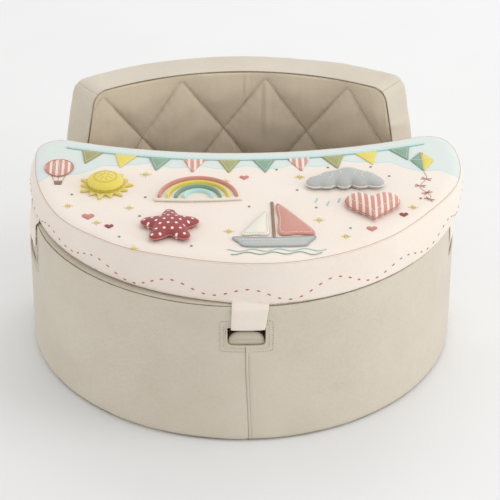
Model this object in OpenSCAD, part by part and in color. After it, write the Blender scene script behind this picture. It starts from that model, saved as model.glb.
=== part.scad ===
// Baby floor seat: a foam-cored tub with a quilted curved backrest and a strapped-on padded play tray.
// Millimetres, +Z up, +Y towards the backrest, origin on the floor at the centre of the round front.

/* [Base] */
// Radius of the round front of the base
base_r = 253; // [230:1:270]
// Height of the top rim above the floor
base_h = 184; // [172:1:195]
// Radius of the soft lower edge of the base
foot_round = 13; // [8:1:22]
// Thickness of the foam wall round the well
wall_t = 50; // [40:1:58]
// Thickness of the foam floor under the seat pad
floor_t = 22; // [15:1:30]
// Thickness of the cover fabric
cloth_t = 1.5; // [1:0.1:2]
// Thickness of the non-slip bottom panel
sole_t = 2.5; // [2:0.1:3.5]

/* [Backrest] */
// Radius of the outer curve of the backrest
back_r = 360; // [350:1:375]
// Distance from the base's centre to the outer face of the backrest
back_reach = 172; // [166:1:180]
// Thickness of the backrest from the outer face to the inner foam face
back_t = 45; // [38:1:52]
// Height of the top of the backrest above the floor
back_h = 281; // [265:1:300]
// Angle from the middle of the backrest to each end at the rim
back_half_angle = 37.3; // [35:0.1:38]
// Inward lean of the two end faces
end_lean = 11; // [7:0.5:14]
// Radius of the top corners seen from the front
back_corner_r = 20; // [12:1:26]
// Radius of the soft rear edge along the top
top_rear_round = 10; // [6:1:14]
// Radius of the soft front edge along the top
top_front_round = 4; // [3:0.5:8]

/* [Quilting] */
// Number of grid columns from one side of the quilted panel to the other
quilt_cols = 31; // [27:1:33]
// Column at which one quilting line meets the top seam
quilt_phase = 18; // [14:1:20]
// Distance from the top seam down to the ends of the quilting lines
quilt_margin = 6; // [4:1:16]
// Height of one grid row, a quarter of the drop from a line's end to the first crossing
quilt_row = 17.5; // [14:0.5:19]
// Thickness of the panel along its seams
quilt_edge_t = 3; // [2:0.5:4]
// Height of the padding in the middle of each diamond above the sewn lines
quilt_puff = 9; // [5:0.5:11]

/* [Seat pad] */
// Thickness of the seat cushion at its middle
pad_t = 32; // [24:1:38]
// Gap between the seat cushion and the well's lining
pad_gap = 4.5; // [4:0.5:8]

/* [Tray] */
// Radius of the tray's front edge
tray_r = 255; // [245:1:265]
// Sideways place of the tray's centre
tray_x = 5.5; // [0:0.5:6]
// Place of the tray's centre towards the backrest
tray_y = 7; // [5:0.5:9]
// Radius of the hollow rear edge of the tray
tray_rear_r = 640; // [600:5:700]
// Distance from the base's centre to the middle of the rear edge
tray_rear_y = 4.5; // [0:0.5:8]
// Radius of the tray's two rear corners
tray_tip_r = 27; // [24:1:30]
// Height of the lower seam above the tray's underside
tray_low_seam = 3; // [2:0.5:5]
// Height of the side band between its two seams
tray_band_h = 46.6; // [40:0.2:55]
// Rise of the padded top above the upper seam
tray_crown = 4; // [2:0.5:6]
// Width of the soft edge over which the top rises
tray_roll = 16; // [12:1:20]

/* [Straps and slots] */
// Width of a strap
strap_w = 41; // [36:0.5:44]
// Thickness of a strap
strap_t = 2; // [1.6:0.1:2.4]
// Turn from the front strap to each side strap
strap_turn = 78; // [70:1:84]
// Side clearance of a strap in its slot
slot_play = 0.8; // [0.5:0.1:2]
// Height of the lower edge of a slot above the floor
slot_z = 132.3; // [125:0.1:135]
// Height of a slot
slot_h = 22.7; // [19:0.1:24]
// Depth of the pocket behind a slot
pocket_d = 35; // [24:1:38]
// Radius of a slot's lower corners
slot_corner_r = 5; // [2:0.5:6]
// Length of strap tucked into the slot past the base's wall
tuck = 4; // [3:0.5:6]
// Free height over the tucked end, which lets it leave the slot
tuck_play = 4; // [3:0.1:4.5]
// Thickness of the hook and of the loop tape
tape_t = 0.9; // [0.7:0.1:1.2]

/* [Toy places, to the right of and behind the base's centre] */
// Sun, sideways
sun_x = -158; // [-160:0.5:-157]
// Sun, towards the backrest
sun_y = -78; // [-80:0.5:-76]
// Heart, sideways
heart_x = 146; // [145:0.5:148]
// Heart, towards the backrest
heart_y = -135; // [-137:0.5:-134]
// Star, sideways
star_x = -84; // [-86:0.5:-83]
// Star, towards the backrest
star_y = -176; // [-178:0.5:-175]
// Cloud, sideways
cloud_x = 116; // [114:0.5:117]
// Cloud, towards the backrest
cloud_y = -80; // [-81:0.5:-78]
// Rainbow, sideways
rainbow_x = -52; // [-53:0.5:-50]
// Rainbow, towards the backrest
rainbow_y = -114; // [-116:0.5:-112]
// Foot of the boat's mast, sideways
boat_x = 32; // [30:0.5:34]
// Foot of the boat's mast, towards the backrest
boat_y = -196; // [-198:0.5:-194]

/* [Toys] */
// Radius of the stuffed sun
sun_r = 33; // [26:1:36]
// Width of the stuffed heart
heart_w = 62; // [50:1:66]
// Radius of the stuffed star
star_r = 34; // [26:1:38]
// Width of the stuffed cloud
cloud_w = 96; // [80:1:104]
// Outer radius of the rainbow flap
rainbow_r = 50; // [40:1:54]
// Thickness of a stuffed toy
toy_t = 15; // [10:1:18]
// Thickness of the rainbow flap
flap_t = 5; // [3.5:0.5:6]
// Length of the boat's hull at its top
hull_w = 92; // [84:1:96]
// Height of the boat's hull
hull_h = 20; // [16:1:22]
// Height of the boat's mast
mast_h = 76; // [60:1:80]
// Width of the boat's mast
mast_w = 4; // [3:0.5:5]
// Thickness of a felt sail
sail_t = 3; // [2:0.5:4]
// Width of the left sail
left_sail_w = 30; // [24:1:34]
// Height of the left sail
left_sail_h = 52; // [44:1:56]
// Width of the right sail
right_sail_w = 40; // [32:1:44]
// Height of the right sail
right_sail_h = 66; // [56:1:70]
// Thickness of a flat patch
patch_t = 1; // [0.8:0.1:1.4]
// Width of one pennant of the bunting
flag_w = 27; // [20:1:30]
// Length of one pennant
flag_h = 32; // [24:1:34]

/* [Zip] */
// Height of the zip's lower edge above the floor
zip_z = 26; // [20:1:40]
// Width of the zip's tape
zip_w = 14; // [12:1:18]
// Angle from the middle of the back to each end of the zip
zip_half_angle = 28; // [20:1:30]

/* [Hidden] */
$fn = 128;

// Colours of the fabrics and foams
stone = "#d8cdb8";
stone_dark = "#b3a387";
peach = "#ecddd0";
foam = "#f2efe6";
olive = "#a6a874";
rose = "#d29687";
maroon = "#9d4f52";
yellow = "#e8d660";
grey = "#b9bcba";
aqua = "#c8e6e4";

gap = 0.3;                                  // clearance between pieces of two bodies
hair = 0.1;                                 // clearance between two curved faces of one body
far = 600;                                  // longer than anything that is cut
front = 0;                                  // turn of the front strap
back_cy = back_reach - back_r;              // centre of the backrest's curve, on the Y axis
rim_z = base_h - cloth_t;                   // top of the foam wall
quilt_r = back_r - back_t;                  // radius of the foam face that carries the quilted panel
front_r = quilt_r - quilt_edge_t;           // radius of the quilted panel's seam
floor_z = sole_t + floor_t;                 // top of the foam floor
seam_z = back_h - top_front_round;          // height of the quilted panel's top seam
panel_angle = back_half_angle - 0.8;        // angle to each side seam of the quilted panel
tray_z = base_h + gap;                      // underside of the tray
low_seam_z = tray_z + tray_low_seam;
high_seam_z = low_seam_z + tray_band_h;
tray_top_z = high_seam_z + tray_crown;      // flat top of the tray
toy_z = tray_top_z + gap;                   // underside of the toys
seam_draw = 0.8;                            // how far the tray's seams are drawn in
slot_w = strap_w + 2 * slot_play;
slot_top = slot_z + slot_h;
facing_t = 1;                               // thickness of the patch that faces a slot
facing_edge = 12;                           // width of that patch round the slot
pocket_t = 1.2;                             // thickness of a pocket's lining
pocket_r = base_r - cloth_t - pocket_d;     // distance from the axis to a pocket's inner end
tape_w = strap_w - 5;                       // width of the hook and loop tapes
tape_low = slot_top + 3;                    // lower edge of the tapes
tape_h = 18;
strap_r = base_r + 2 * tape_t + gap + strap_t / 2;  // middle of a hanging strap
bead_r = strap_t / 2 + 0.25;                // radius of the rolled edge by which a strap is sewn on
bead_z = low_seam_z - 1.2;
shoulder_drop = 1.2;                        // from the rolled edge down to where the strap turns down
shoulder_in = 2.4;                          // and inwards
lip_z = slot_top - tuck_play - strap_t / 2; // middle of the tucked end

// ---- outlines ----

function arc(c, r, a, b, n) =
    [for (i = [0:n]) let (t = a + (b - a) * i / n) [c[0] + r * cos(t), c[1] + r * sin(t)]];

function at(points, z) = [for (p = points) [p[0], p[1], z]];

function part_of(points, a, b) = [for (i = [a:b]) points[i]];

// Closed outline inside a front circle about the origin and a rear circle about the backrest's centre
function tub_outline(rf, rr, nf, nr) =
    let (y = (rf * rf - rr * rr + back_cy * back_cy) / (2 * back_cy), x = sqrt(rf * rf - y * y))
    let (a = atan2(y, x), b = atan2(y - back_cy, x))
    concat(arc([0, 0], rf, 180 - a, 360 + a, nf),
           part_of(arc([0, back_cy], rr, b, 180 - b, nr), 1, nr - 1));

// Closed outline of the tray, drawn in by inset: front arc, right tip, hollow rear edge, left tip
function tray_outline(inset) =
    let (ri = tray_r - tray_tip_r, ro = tray_rear_r + tray_tip_r, d = tray_rear_y - tray_y + tray_rear_r)
    let (yc = (ri * ri - ro * ro + d * d) / (2 * d), xc = sqrt(ri * ri - yc * yc))
    let (w = atan2(yc, xc), u = atan2(d - yc, -xc), tip = tray_tip_r - inset)
    let (local = concat(arc([0, 0], tray_r - inset, 180 - w, 360 + w, 40),
                        part_of(arc([xc, yc], tip, w, u, 5), 1, 5),
                        part_of(arc([0, d], tray_rear_r + inset, u - 180, -u, 30), 1, 29),
                        part_of(arc([-xc, yc], tip, 180 - u, 180 - w, 5), 0, 4)))
    [for (p = local) p + [tray_x, tray_y]];

// Distance from the axis to the tray's edge in the direction of a strap
function tray_edge(turn) =
    let (c = tray_x * sin(turn) - tray_y * cos(turn))
    c + sqrt(tray_r * tray_r - tray_x * tray_x - tray_y * tray_y + c * c);

// Outline of a strip of thickness t along a line of points
function ribbon(points, t) =
    let (n = len(points))
    let (turned = [for (i = [0:n - 2]) let (d = points[i + 1] - points[i]) [-d[1], d[0]] / norm(d)])
    let (off = [for (i = [0:n - 1])
        let (p = turned[max(i - 1, 0)], q = turned[min(i, n - 2)], m = (p + q) / norm(p + q)) m / (m * q)])
    concat([for (i = [0:n - 1]) points[i] + off[i] * t / 2],
           [for (i = [n - 1:-1:0]) points[i] - off[i] * t / 2]);

// ---- builders ----

// Triangles over an outline of n points, in rungs between its first and its second half
function rungs(n) = [for (i = [0:floor(n / 2) - 1]) let (j = n - 1 - i)
    each concat(i + 1 == j ? [] : [[i, i + 1, j]], i == 0 ? [] : [[i, j, j + 1]])];

// Triangles over an outline of n points, from a middle point of number n
function spokes(n) = [for (i = [0:n - 1]) [i, (i + 1) % n, n]];

// Closed skin through rings of equal length: joined from last to first, or capped at both ends in rungs,
// or capped in spokes where each ring ends with a middle point
module skin(rings, joined = false, spoked = false) {
    w = len(rings[0]);
    n = spoked ? w - 1 : w;
    m = len(rings);
    sides = [for (k = [0:(joined ? m - 1 : m - 2)], i = [0:n - 1])
        let (j = (i + 1) % n, a = k * w, b = ((k + 1) % m) * w)
        each [[a + i, b + i, b + j], [a + i, b + j, a + j]]];
    cap = joined ? [] : spoked ? spokes(n) : rungs(n);
    top = [for (c = cap) [for (i = [2, 1, 0]) (m - 1) * w + c[i]]];
    polyhedron(points = [for (r = rings) each r], faces = concat(sides, cap, top));
}

// Section of the tub from its axis to its outer face, with the soft lower edge
module tub_section(r, inset) {
    low = inset > 0 ? sole_t : 0;
    start = inset > 0 ? asin((sole_t - foot_round) / (foot_round - inset)) : -90;
    polygon(concat([[0, low]], arc([r - foot_round, foot_round], foot_round - inset, start, 0, 5),
                   [[r - inset, rim_z], [0, rim_z]]));
}

// Section of a cover's wall that follows the tub's outer face
module cover_section(r) {
    c = [r - foot_round, foot_round];
    low = sole_t - foot_round;
    inner = foot_round - cloth_t;
    polygon(concat(arc(c, foot_round, asin(low / foot_round), 0, 5), [[r, rim_z], [r - cloth_t, rim_z]],
                   arc(c, inner, 0, asin(low / inner), 5)));
}

module around_back() { translate([0, back_cy, 0]) rotate_extrude() children(); }

module back_cylinder(r, low, high) { translate([0, back_cy, low]) cylinder(r = r, h = high - low); }

// The tub's outer form, drawn in by inset
module tub_form(inset) {
    intersection() {
        rotate_extrude() tub_section(base_r, inset);
        around_back() tub_section(back_r, inset);
    }
}

// The well, drawn in by inset
module well(inset, low, high) {
    intersection() {
        translate([0, 0, low]) cylinder(r = base_r - wall_t - inset, h = high - low);
        back_cylinder(quilt_r - inset, low, high);
    }
}

// Wedge about the axis of the backrest's curve, from the base's centre to behind the backrest
module back_wedge(half_angle) {
    slope = tan(half_angle);
    translate([0, back_cy, -1]) linear_extrude(far)
        polygon([[slope * -back_cy, -back_cy], [slope * far, far], [-slope * far, far], [slope * back_cy, -back_cy]]);
}

// Everything beyond the leaning end faces and round top corners of the backrest, drawn in by inset
module beyond_end(side, inset) {
    zc = back_h - back_corner_r;
    tc = ((base_h - zc) * sin(end_lean) - back_corner_r) / cos(end_lean);
    for (a = [end_lean, 30, 50, 70])
        mirror([side < 0 ? 1 : 0, 0, 0]) translate([0, back_cy, 0]) rotate([0, 0, -back_half_angle])
            rotate([0, -a, 0])
                translate([tc * cos(a) + zc * sin(a) + back_corner_r - inset, 0, -far])
                    cube([far, far, 2 * far]);
}

// What children draw about the backrest's axis, between its two end faces
module between_ends(inset) {
    difference() {
        intersection() {
            around_back() children();
            back_wedge(back_half_angle);
        }
        beyond_end(-1, inset);
        beyond_end(1, inset);
    }
}

// Round edges along the top of the backrest, drawn in by inset, from the front seam to the rear seam
function back_edges(inset) = concat(
    arc([front_r + top_front_round, seam_z], top_front_round - inset, 180, 90, 4),
    arc([back_r - top_rear_round, back_h - top_rear_round], top_rear_round - inset, 90, 0, 5));

// Plan of a slot standing upright, grown on all sides
module slot_shape(grow) {
    half = slot_w / 2 + grow;
    corner = slot_corner_r + grow;
    low = slot_z - grow;
    translate([-half, low + corner]) square([2 * half, slot_top + grow - low - corner]);
    translate([-half + corner, low]) square([2 * (half - corner), corner]);
    for (side = [-1, 1]) translate([side * (half - corner), low + corner]) circle(r = corner, $fn = 32);
}

module slot_prism(grow, r0, r1) {
    translate([0, -r0, 0]) rotate([90, 0, 0]) linear_extrude(r1 - r0) slot_shape(grow);
}

// Curved plate on the tub's front wall between two radii
module wall_plate(r0, r1, width, low, high) {
    intersection() {
        difference() {
            translate([0, 0, low]) cylinder(r = r1, h = high - low);
            translate([0, 0, low - 1]) cylinder(r = r0, h = high - low + 2);
        }
        translate([-width / 2, -far, 0]) cube([width, far, far]);
    }
}

// Patch round a slot, from the cover's inner face inwards, or the recess for it, which runs past the wall
module facing_plate(outer = base_r - cloth_t) {
    wall_plate(base_r - cloth_t - facing_t, outer, slot_w + 2 * facing_edge,
               slot_z - facing_edge, slot_top + facing_edge);
}

// ---- foam and covers of the seat ----

module base_core() color(foam) difference() {
    tub_form(cloth_t);
    well(0, 0, far);
    for (turn = [-strap_turn, front, strap_turn]) rotate([0, 0, turn]) {
        slot_prism(pocket_t, pocket_r - pocket_t, base_r + 5);
        facing_plate(base_r + 5);
    }
}

module floor_core() color(foam) well(0, sole_t, floor_z);

module well_lining() color(stone) difference() {
    well(0, floor_z, rim_z);
    well(cloth_t, 0, far);
    back_wedge(panel_angle);
}

module rim_cover() color(stone) difference() {
    intersection() {
        translate([0, 0, rim_z]) cylinder(r = base_r, h = cloth_t);
        back_cylinder(back_r, rim_z, base_h);
    }
    well(0, 0, far);
    back_wedge(back_half_angle);
}

module side_cover(side) color(stone) difference() {
    intersection() {
        rotate_extrude() cover_section(base_r);
        around_back() tub_section(back_r, cloth_t);
        translate([side > 0 ? 0 : -far, -far, 0]) cube([far, 2 * far, far]);
    }
    for (turn = [front, side * strap_turn]) rotate([0, 0, turn]) slot_prism(0, base_r - 10, base_r + 5);
}

module side_cover_left() side_cover(-1);
module side_cover_right() side_cover(1);

module rear_panel() color(stone) {
    intersection() {
        around_back() cover_section(back_r);
        rotate_extrude() tub_section(base_r, 0);
    }
    between_ends(cloth_t) translate([back_r - cloth_t, rim_z])
        square([cloth_t, back_h - top_rear_round - rim_z]);
}

module bottom_panel() color(stone_dark) intersection() {
    tub_form(0);
    translate([-far, -far, 0]) cube([2 * far, 2 * far, sole_t]);
}

module seat_pad() color(stone) {
    // Draw-in and height, as a share of the thickness, from the underside to the crown
    form = [[6, 0], [1.5, 0.15], [0, 0.38], [1, 0.62], [6, 0.84], [24, 0.96], [60, 1]];
    skin([for (f = form) at(tub_outline(base_r - wall_t - pad_gap - f[0], quilt_r - pad_gap - f[0], 34, 14),
                            floor_z + f[1] * pad_t)]);
}

// ---- backrest ----

module back_core() color(foam) between_ends(cloth_t)
    polygon(concat([[quilt_r, rim_z], [quilt_r, seam_z]], back_edges(cloth_t), [[back_r - cloth_t, rim_z]]));

module back_top_band() color(stone) between_ends(cloth_t)
    polygon(concat(back_edges(0), [for (i = [10:-1:0]) back_edges(cloth_t)[i]]));

module back_end(side) color(stone) intersection() {
    beyond_end(side, cloth_t);
    between_ends(0) polygon(concat([[front_r, rim_z]], back_edges(0), [[back_r, rim_z]]));
}

module back_end_left() back_end(-1);
module back_end_right() back_end(1);

// Quilted panel: a curved pad whose two sets of slanting lines are sewn down into diamonds
quilt_rows = ceil((seam_z - quilt_margin - floor_z) / quilt_row) + 1;
period = 8;                                 // columns from one line to the next
quilt_side = 4;                             // columns at each side that take up the lean of the ends

function quilt_z(j) = j == 0 ? seam_z : max(floor_z, seam_z - quilt_margin - quilt_row * (j - 1));

function quilt_half(j) =
    let (z = quilt_z(j), lean = max(0, z - base_h) * tan(end_lean), corner = j == 0 ? back_corner_r * 0.6 : 0)
    panel_angle - (lean + corner) / quilt_r * 180 / PI;

function quilt_height(i, j) =
    let (a = i - quilt_phase, b = j - 1)
    i == 0 || i == quilt_cols || j == 0 || quilt_z(j) < floor_z + pad_t + 2 ? 0
    : quilt_puff * sqrt(abs(sin(180 * (a - b) / period) * sin(180 * (a + b) / period)));

// Angle of column i in row j: an even spacing, but for the columns at the sides
function quilt_turn(i, j) =
    let (t = i - quilt_cols / 2, even = quilt_cols / 2 - quilt_side, pitch = 2 * panel_angle / quilt_cols)
    abs(t) <= even ? pitch * t
    : sign(t) * (pitch * even + (abs(t) - even) / quilt_side * (quilt_half(j) - pitch * even));

function quilt_point(i, j, r) =
    let (t = quilt_turn(i, j)) [r * sin(t), back_cy + r * cos(t), quilt_z(j)];

module back_quilt() color(stone_dark) {
    w = quilt_cols + 1;
    m = quilt_rows;
    k = w * (m + 1);
    face = [for (j = [0:m - 1], i = [0:quilt_cols - 1])
        let (p = j * w + i, q = p + w)
        each ((i - quilt_phase + j) % period == 0
              ? [[p, p + 1, q], [p + 1, q + 1, q]] : [[p, p + 1, q + 1], [p, q + 1, q]])];
    rear = [for (f = face) [f[0] + k, f[2] + k, f[1] + k]];
    ends = [for (i = [0:quilt_cols - 1]) let (p = m * w + i)
        each [[i, i + k, i + 1 + k], [i, i + 1 + k, i + 1], [p, p + 1, p + 1 + k], [p, p + 1 + k, p + k]]];
    sides = [for (j = [0:m - 1]) let (p = j * w, q = p + quilt_cols)
        each [[p + k, p, p + w], [p + k, p + w, p + w + k], [q, q + k, q + w + k], [q, q + w + k, q + w]]];
    grid = [for (j = [0:m], i = [0:quilt_cols]) [i, j]];
    polyhedron(points = concat([for (g = grid) quilt_point(g[0], g[1], front_r - quilt_height(g[0], g[1]))],
                               [for (g = grid) quilt_point(g[0], g[1], quilt_r)]),
               faces = concat(face, rear, ends, sides));
}

// ---- slots ----

module slot_facing(turn) color(stone) rotate([0, 0, turn]) difference() {
    facing_plate();
    slot_prism(0, pocket_r, base_r + 5);
}

module slot_pocket(turn) color(stone_dark) rotate([0, 0, turn]) difference() {
    intersection() {
        slot_prism(pocket_t, pocket_r - pocket_t, base_r);
        cylinder(r = base_r - cloth_t - facing_t, h = far);
    }
    slot_prism(0, pocket_r, base_r + 5);
}

module loop_tape(turn) color(grey) rotate([0, 0, turn])
    wall_plate(base_r + hair, base_r + tape_t, tape_w, tape_low, tape_low + tape_h);

module slot_facing_front() slot_facing(front);
module slot_facing_left() slot_facing(-strap_turn);
module slot_facing_right() slot_facing(strap_turn);
module slot_pocket_front() slot_pocket(front);
module slot_pocket_left() slot_pocket(-strap_turn);
module slot_pocket_right() slot_pocket(strap_turn);
module loop_tape_front() loop_tape(front);
module loop_tape_left() loop_tape(-strap_turn);
module loop_tape_right() loop_tape(strap_turn);

// ---- zip at the back of the cover ----

zip_tape_t = 1.2;
chain_t = 1.8;                              // height of the zip's teeth above the tape
chain_w = 4.5;
slider_angle = 2.2;

module back_sector(half_angle, r0, r1, low, high) {
    intersection() {
        around_back() translate([r0, low]) square([r1 - r0, high - low]);
        back_wedge(half_angle);
    }
}

module cover_zip() color(stone_dark) {
    middle = zip_z + zip_w / 2;
    back_sector(zip_half_angle, back_r, back_r + zip_tape_t, zip_z, zip_z + zip_w);
    back_sector(zip_half_angle, back_r + zip_tape_t, back_r + zip_tape_t + chain_t,
                middle - chain_w / 2, middle + chain_w / 2);
}

module zip_slider() color(grey) {
    middle = zip_z + zip_w / 2;
    r = back_r + zip_tape_t + gap;
    translate([0, back_cy, 0]) rotate([0, 0, 1 + slider_angle - zip_half_angle]) translate([0, -back_cy, 0])
        difference() {
            back_sector(slider_angle / 2, r, r + chain_t + 2, middle - 5, middle + 5);
            back_sector(slider_angle, r - 1, r + chain_t, middle - chain_w / 2 - gap, middle + chain_w / 2 + gap);
        }
}

// ---- tray ----

module tray_core() color(foam) {
    inset = seam_draw + cloth_t;
    skin([at(tray_outline(inset), low_seam_z), at(tray_outline(inset), high_seam_z)]);
}

module tray_top() color(peach)
    skin([for (f = [[seam_draw, 0], [tray_roll * 0.25, 0.55], [tray_roll * 0.55, 0.86], [tray_roll, 1]])
        at(tray_outline(f[0]), high_seam_z + f[1] * tray_crown)]);

module tray_bottom() color(peach)
    skin([for (f = [[12, 0], [7, 0.14], [3, 0.5], [seam_draw, 1]])
        at(tray_outline(f[0]), tray_z + f[1] * tray_low_seam)]);

module tray_side_band() color(peach) {
    inner = seam_draw + cloth_t;
    skin([for (f = [[seam_draw, 0], [0, 0.22], [0, 0.75], [seam_draw, 1], [inner, 1], [inner, 0]])
        at(tray_outline(f[0]), low_seam_z + f[1] * tray_band_h)], true);
}

// ---- straps, each drawn at the front and then turned to its place ----

module strap(turn) color(peach) rotate([0, 0, turn]) {
    top = tray_edge(turn) + gap;
    shoulder = max(strap_r - strap_t / 4, top - shoulder_in);
    line = [[top, bead_z], [shoulder, bead_z - shoulder_drop], [strap_r, tape_low + tape_h + 1],
            [strap_r, lip_z], [base_r - tuck, lip_z]];
    rotate([90, 0, -90]) translate([0, 0, -strap_w / 2]) {
        linear_extrude(strap_w) polygon(ribbon(line, strap_t));
        translate([top, bead_z, 0]) cylinder(r = bead_r, h = strap_w, $fn = 32);
    }
}

module hook_tape(turn) color(grey) rotate([0, 0, turn])
    translate([-tape_w / 2, -strap_r + strap_t / 2, tape_low]) cube([tape_w, tape_t, tape_h]);

module strap_front() strap(front);
module strap_left() strap(-strap_turn);
module strap_right() strap(strap_turn);
module hook_tape_front() hook_tape(front);
module hook_tape_left() hook_tape(-strap_turn);
module hook_tape_right() hook_tape(strap_turn);

// ---- bunting along the rear edge ----

tape_line = tray_rear_r + 24;               // radius of the bunting's line
rear_cy = tray_rear_y + tray_rear_r;        // centre of the hollow rear edge
flag_step = 3.5;
flag_count = 10;

module bunting_tape() color(aqua) translate([tray_x, rear_cy, tray_top_z]) intersection() {
    difference() {
        cylinder(r = tape_line + 2, h = patch_t, $fn = 256);
        translate([0, 0, -1]) cylinder(r = tape_line - 2, h = patch_t + 2, $fn = 256);
    }
    x = far * tan(flag_step * (flag_count + 0.6) / 2);
    linear_extrude(patch_t) polygon([[0, 0], [-x * 2, -2 * far], [x * 2, -2 * far]]);
}

module flags(places) {
    for (k = places)
        translate([tray_x, rear_cy, tray_top_z]) rotate([0, 0, (k - (flag_count - 1) / 2) * flag_step])
            translate([0, -tape_line - 2, 0]) linear_extrude(patch_t)
                polygon([[-flag_w / 2, 0], [0, -flag_h], [flag_w / 2, 0]]);
}

module bunting_olive() color(olive) flags([0, 2, 4, 5, 7, 9]);
module bunting_rose() color(rose) flags([3, 6]);
module bunting_yellow() color(yellow) flags([1, 8]);

// ---- sailing boat ----

sail_gap = mast_w / 2 + sail_t + 1;         // hinge line of a sail from the mast's middle
sail_rise = 5;                              // lower edge of the sails above the hull

module boat_hull() color(grey) translate([boat_x, boat_y, tray_top_z]) linear_extrude(patch_t) {
    polygon([[-hull_w / 2, 0], [hull_w / 2, 0], [hull_w * 0.37, -hull_h], [-hull_w * 0.35, -hull_h]]);
    translate([-mast_w / 2, 0]) square([mast_w, mast_h]);
}

module sail(side, reach, rise) {
    translate([boat_x + side * sail_gap, boat_y + sail_rise, toy_z]) linear_extrude(sail_t)
        polygon([[0, 0], [side * reach, 0], [0, rise]]);
}

module boat_sail_left() color(peach) sail(-1, left_sail_w, left_sail_h);
module boat_sail_right() color(rose) sail(1, right_sail_w, right_sail_h);

// ---- stuffed toys and flap, each a rim with a crown ----

function sun_shape(n) = [for (i = [0:n - 1]) let (t = 360 * i / n, r = sun_r * (0.86 + 0.14 * abs(cos(5 * t))))
    [r * cos(t), r * sin(t)]];

function star_shape(n) = [for (i = [0:n - 1]) let (t = 360 * i / n, r = star_r * (0.78 + 0.22 * cos(5 * (t - 90))))
    [r * cos(t), r * sin(t)]];

function heart_shape(n) = [for (i = [0:n - 1]) let (t = -360 * i / n)
    [16 * pow(sin(t), 3), 13 * cos(t) - 5 * cos(2 * t) - 2 * cos(3 * t) - cos(4 * t)] * heart_w / 32];

function cloud_shape(n) = [for (i = [0:n - 1]) let (t = 360 * i / n, k = 0.84 + 0.16 * abs(cos(3.5 * (t - 90))))
    [cloud_w / 2 * k * cos(t), max(cloud_w * 0.3 * k * sin(t), -cloud_w * 0.15)]];

function rainbow_shape(n) = concat(arc([0, 0], rainbow_r, 0, 180, n - 9),
    [for (i = [1:8]) let (u = 2 * i / 9 - 1) [rainbow_r * u, -2.5 * (1 - u * u)]]);

// Stuffed form over an outline: drawn-in underside, sewn rim and crown
module stuffed(shape, place, t, middle = [0, 0]) {
    translate([place[0], place[1], toy_z])
        skin([for (f = [[0.92, 0], [1, 0.3], [0.9, 0.72], [0.66, 0.94], [0.3, 1]])
            at([for (p = concat(shape, [middle])) middle + (p - middle) * f[0]], f[1] * t)], spoked = true);
}

module toy_sun() color(yellow) stuffed(sun_shape(60), [sun_x, sun_y], toy_t);
module toy_heart() color(rose) stuffed(heart_shape(44), [heart_x, heart_y], toy_t);
module toy_star() color(maroon) stuffed(star_shape(50), [star_x, star_y], toy_t);
module toy_cloud() color(grey) stuffed(cloud_shape(56), [cloud_x, cloud_y], toy_t);
module toy_rainbow() color(aqua)
    stuffed(rainbow_shape(40), [rainbow_x, rainbow_y], flap_t, [0, rainbow_r * 0.42]);

base_core();
floor_core();
well_lining();
rim_cover();
side_cover_left();
side_cover_right();
rear_panel();
bottom_panel();
seat_pad();
back_core();
back_quilt();
back_top_band();
back_end_left();
back_end_right();
slot_facing_front();
slot_facing_left();
slot_facing_right();
slot_pocket_front();
slot_pocket_left();
slot_pocket_right();
loop_tape_front();
loop_tape_left();
loop_tape_right();
cover_zip();
zip_slider();
tray_core();
tray_top();
tray_side_band();
tray_bottom();
strap_front();
strap_left();
strap_right();
hook_tape_front();
hook_tape_left();
hook_tape_right();
bunting_tape();
bunting_olive();
bunting_rose();
bunting_yellow();
boat_hull();
boat_sail_left();
boat_sail_right();
toy_sun();
toy_heart();
toy_star();
toy_cloud();
toy_rainbow();
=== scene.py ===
"""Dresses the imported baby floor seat: canvas covers, quilted back, seat cushion, padded play tray and its toys.

Shapes are worked out in millimetres and become metres when a mesh is made. +Z is up, +Y towards the backrest.
"""

import math

import bmesh
import bpy
import numpy as np
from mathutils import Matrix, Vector


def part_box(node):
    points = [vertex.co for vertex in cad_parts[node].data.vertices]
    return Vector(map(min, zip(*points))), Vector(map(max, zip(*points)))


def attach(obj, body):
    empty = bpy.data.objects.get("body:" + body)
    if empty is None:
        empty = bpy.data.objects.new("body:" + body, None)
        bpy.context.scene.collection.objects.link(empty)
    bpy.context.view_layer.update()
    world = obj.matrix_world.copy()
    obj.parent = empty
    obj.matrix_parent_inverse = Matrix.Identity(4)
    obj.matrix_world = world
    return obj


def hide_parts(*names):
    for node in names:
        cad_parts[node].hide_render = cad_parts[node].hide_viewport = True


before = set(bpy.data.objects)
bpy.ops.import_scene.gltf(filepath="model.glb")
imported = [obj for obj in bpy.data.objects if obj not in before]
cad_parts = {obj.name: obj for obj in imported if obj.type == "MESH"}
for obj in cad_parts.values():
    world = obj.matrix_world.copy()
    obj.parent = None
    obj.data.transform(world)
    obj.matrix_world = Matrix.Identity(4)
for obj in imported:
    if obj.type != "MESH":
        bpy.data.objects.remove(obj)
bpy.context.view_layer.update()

MM = 0.001


def corners(node):
    """Lowest and highest corner of a CAD node, in millimetres."""
    return [np.array(c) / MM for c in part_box(node)]


# ---- sizes of the seat, in millimetres and degrees ----

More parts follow.
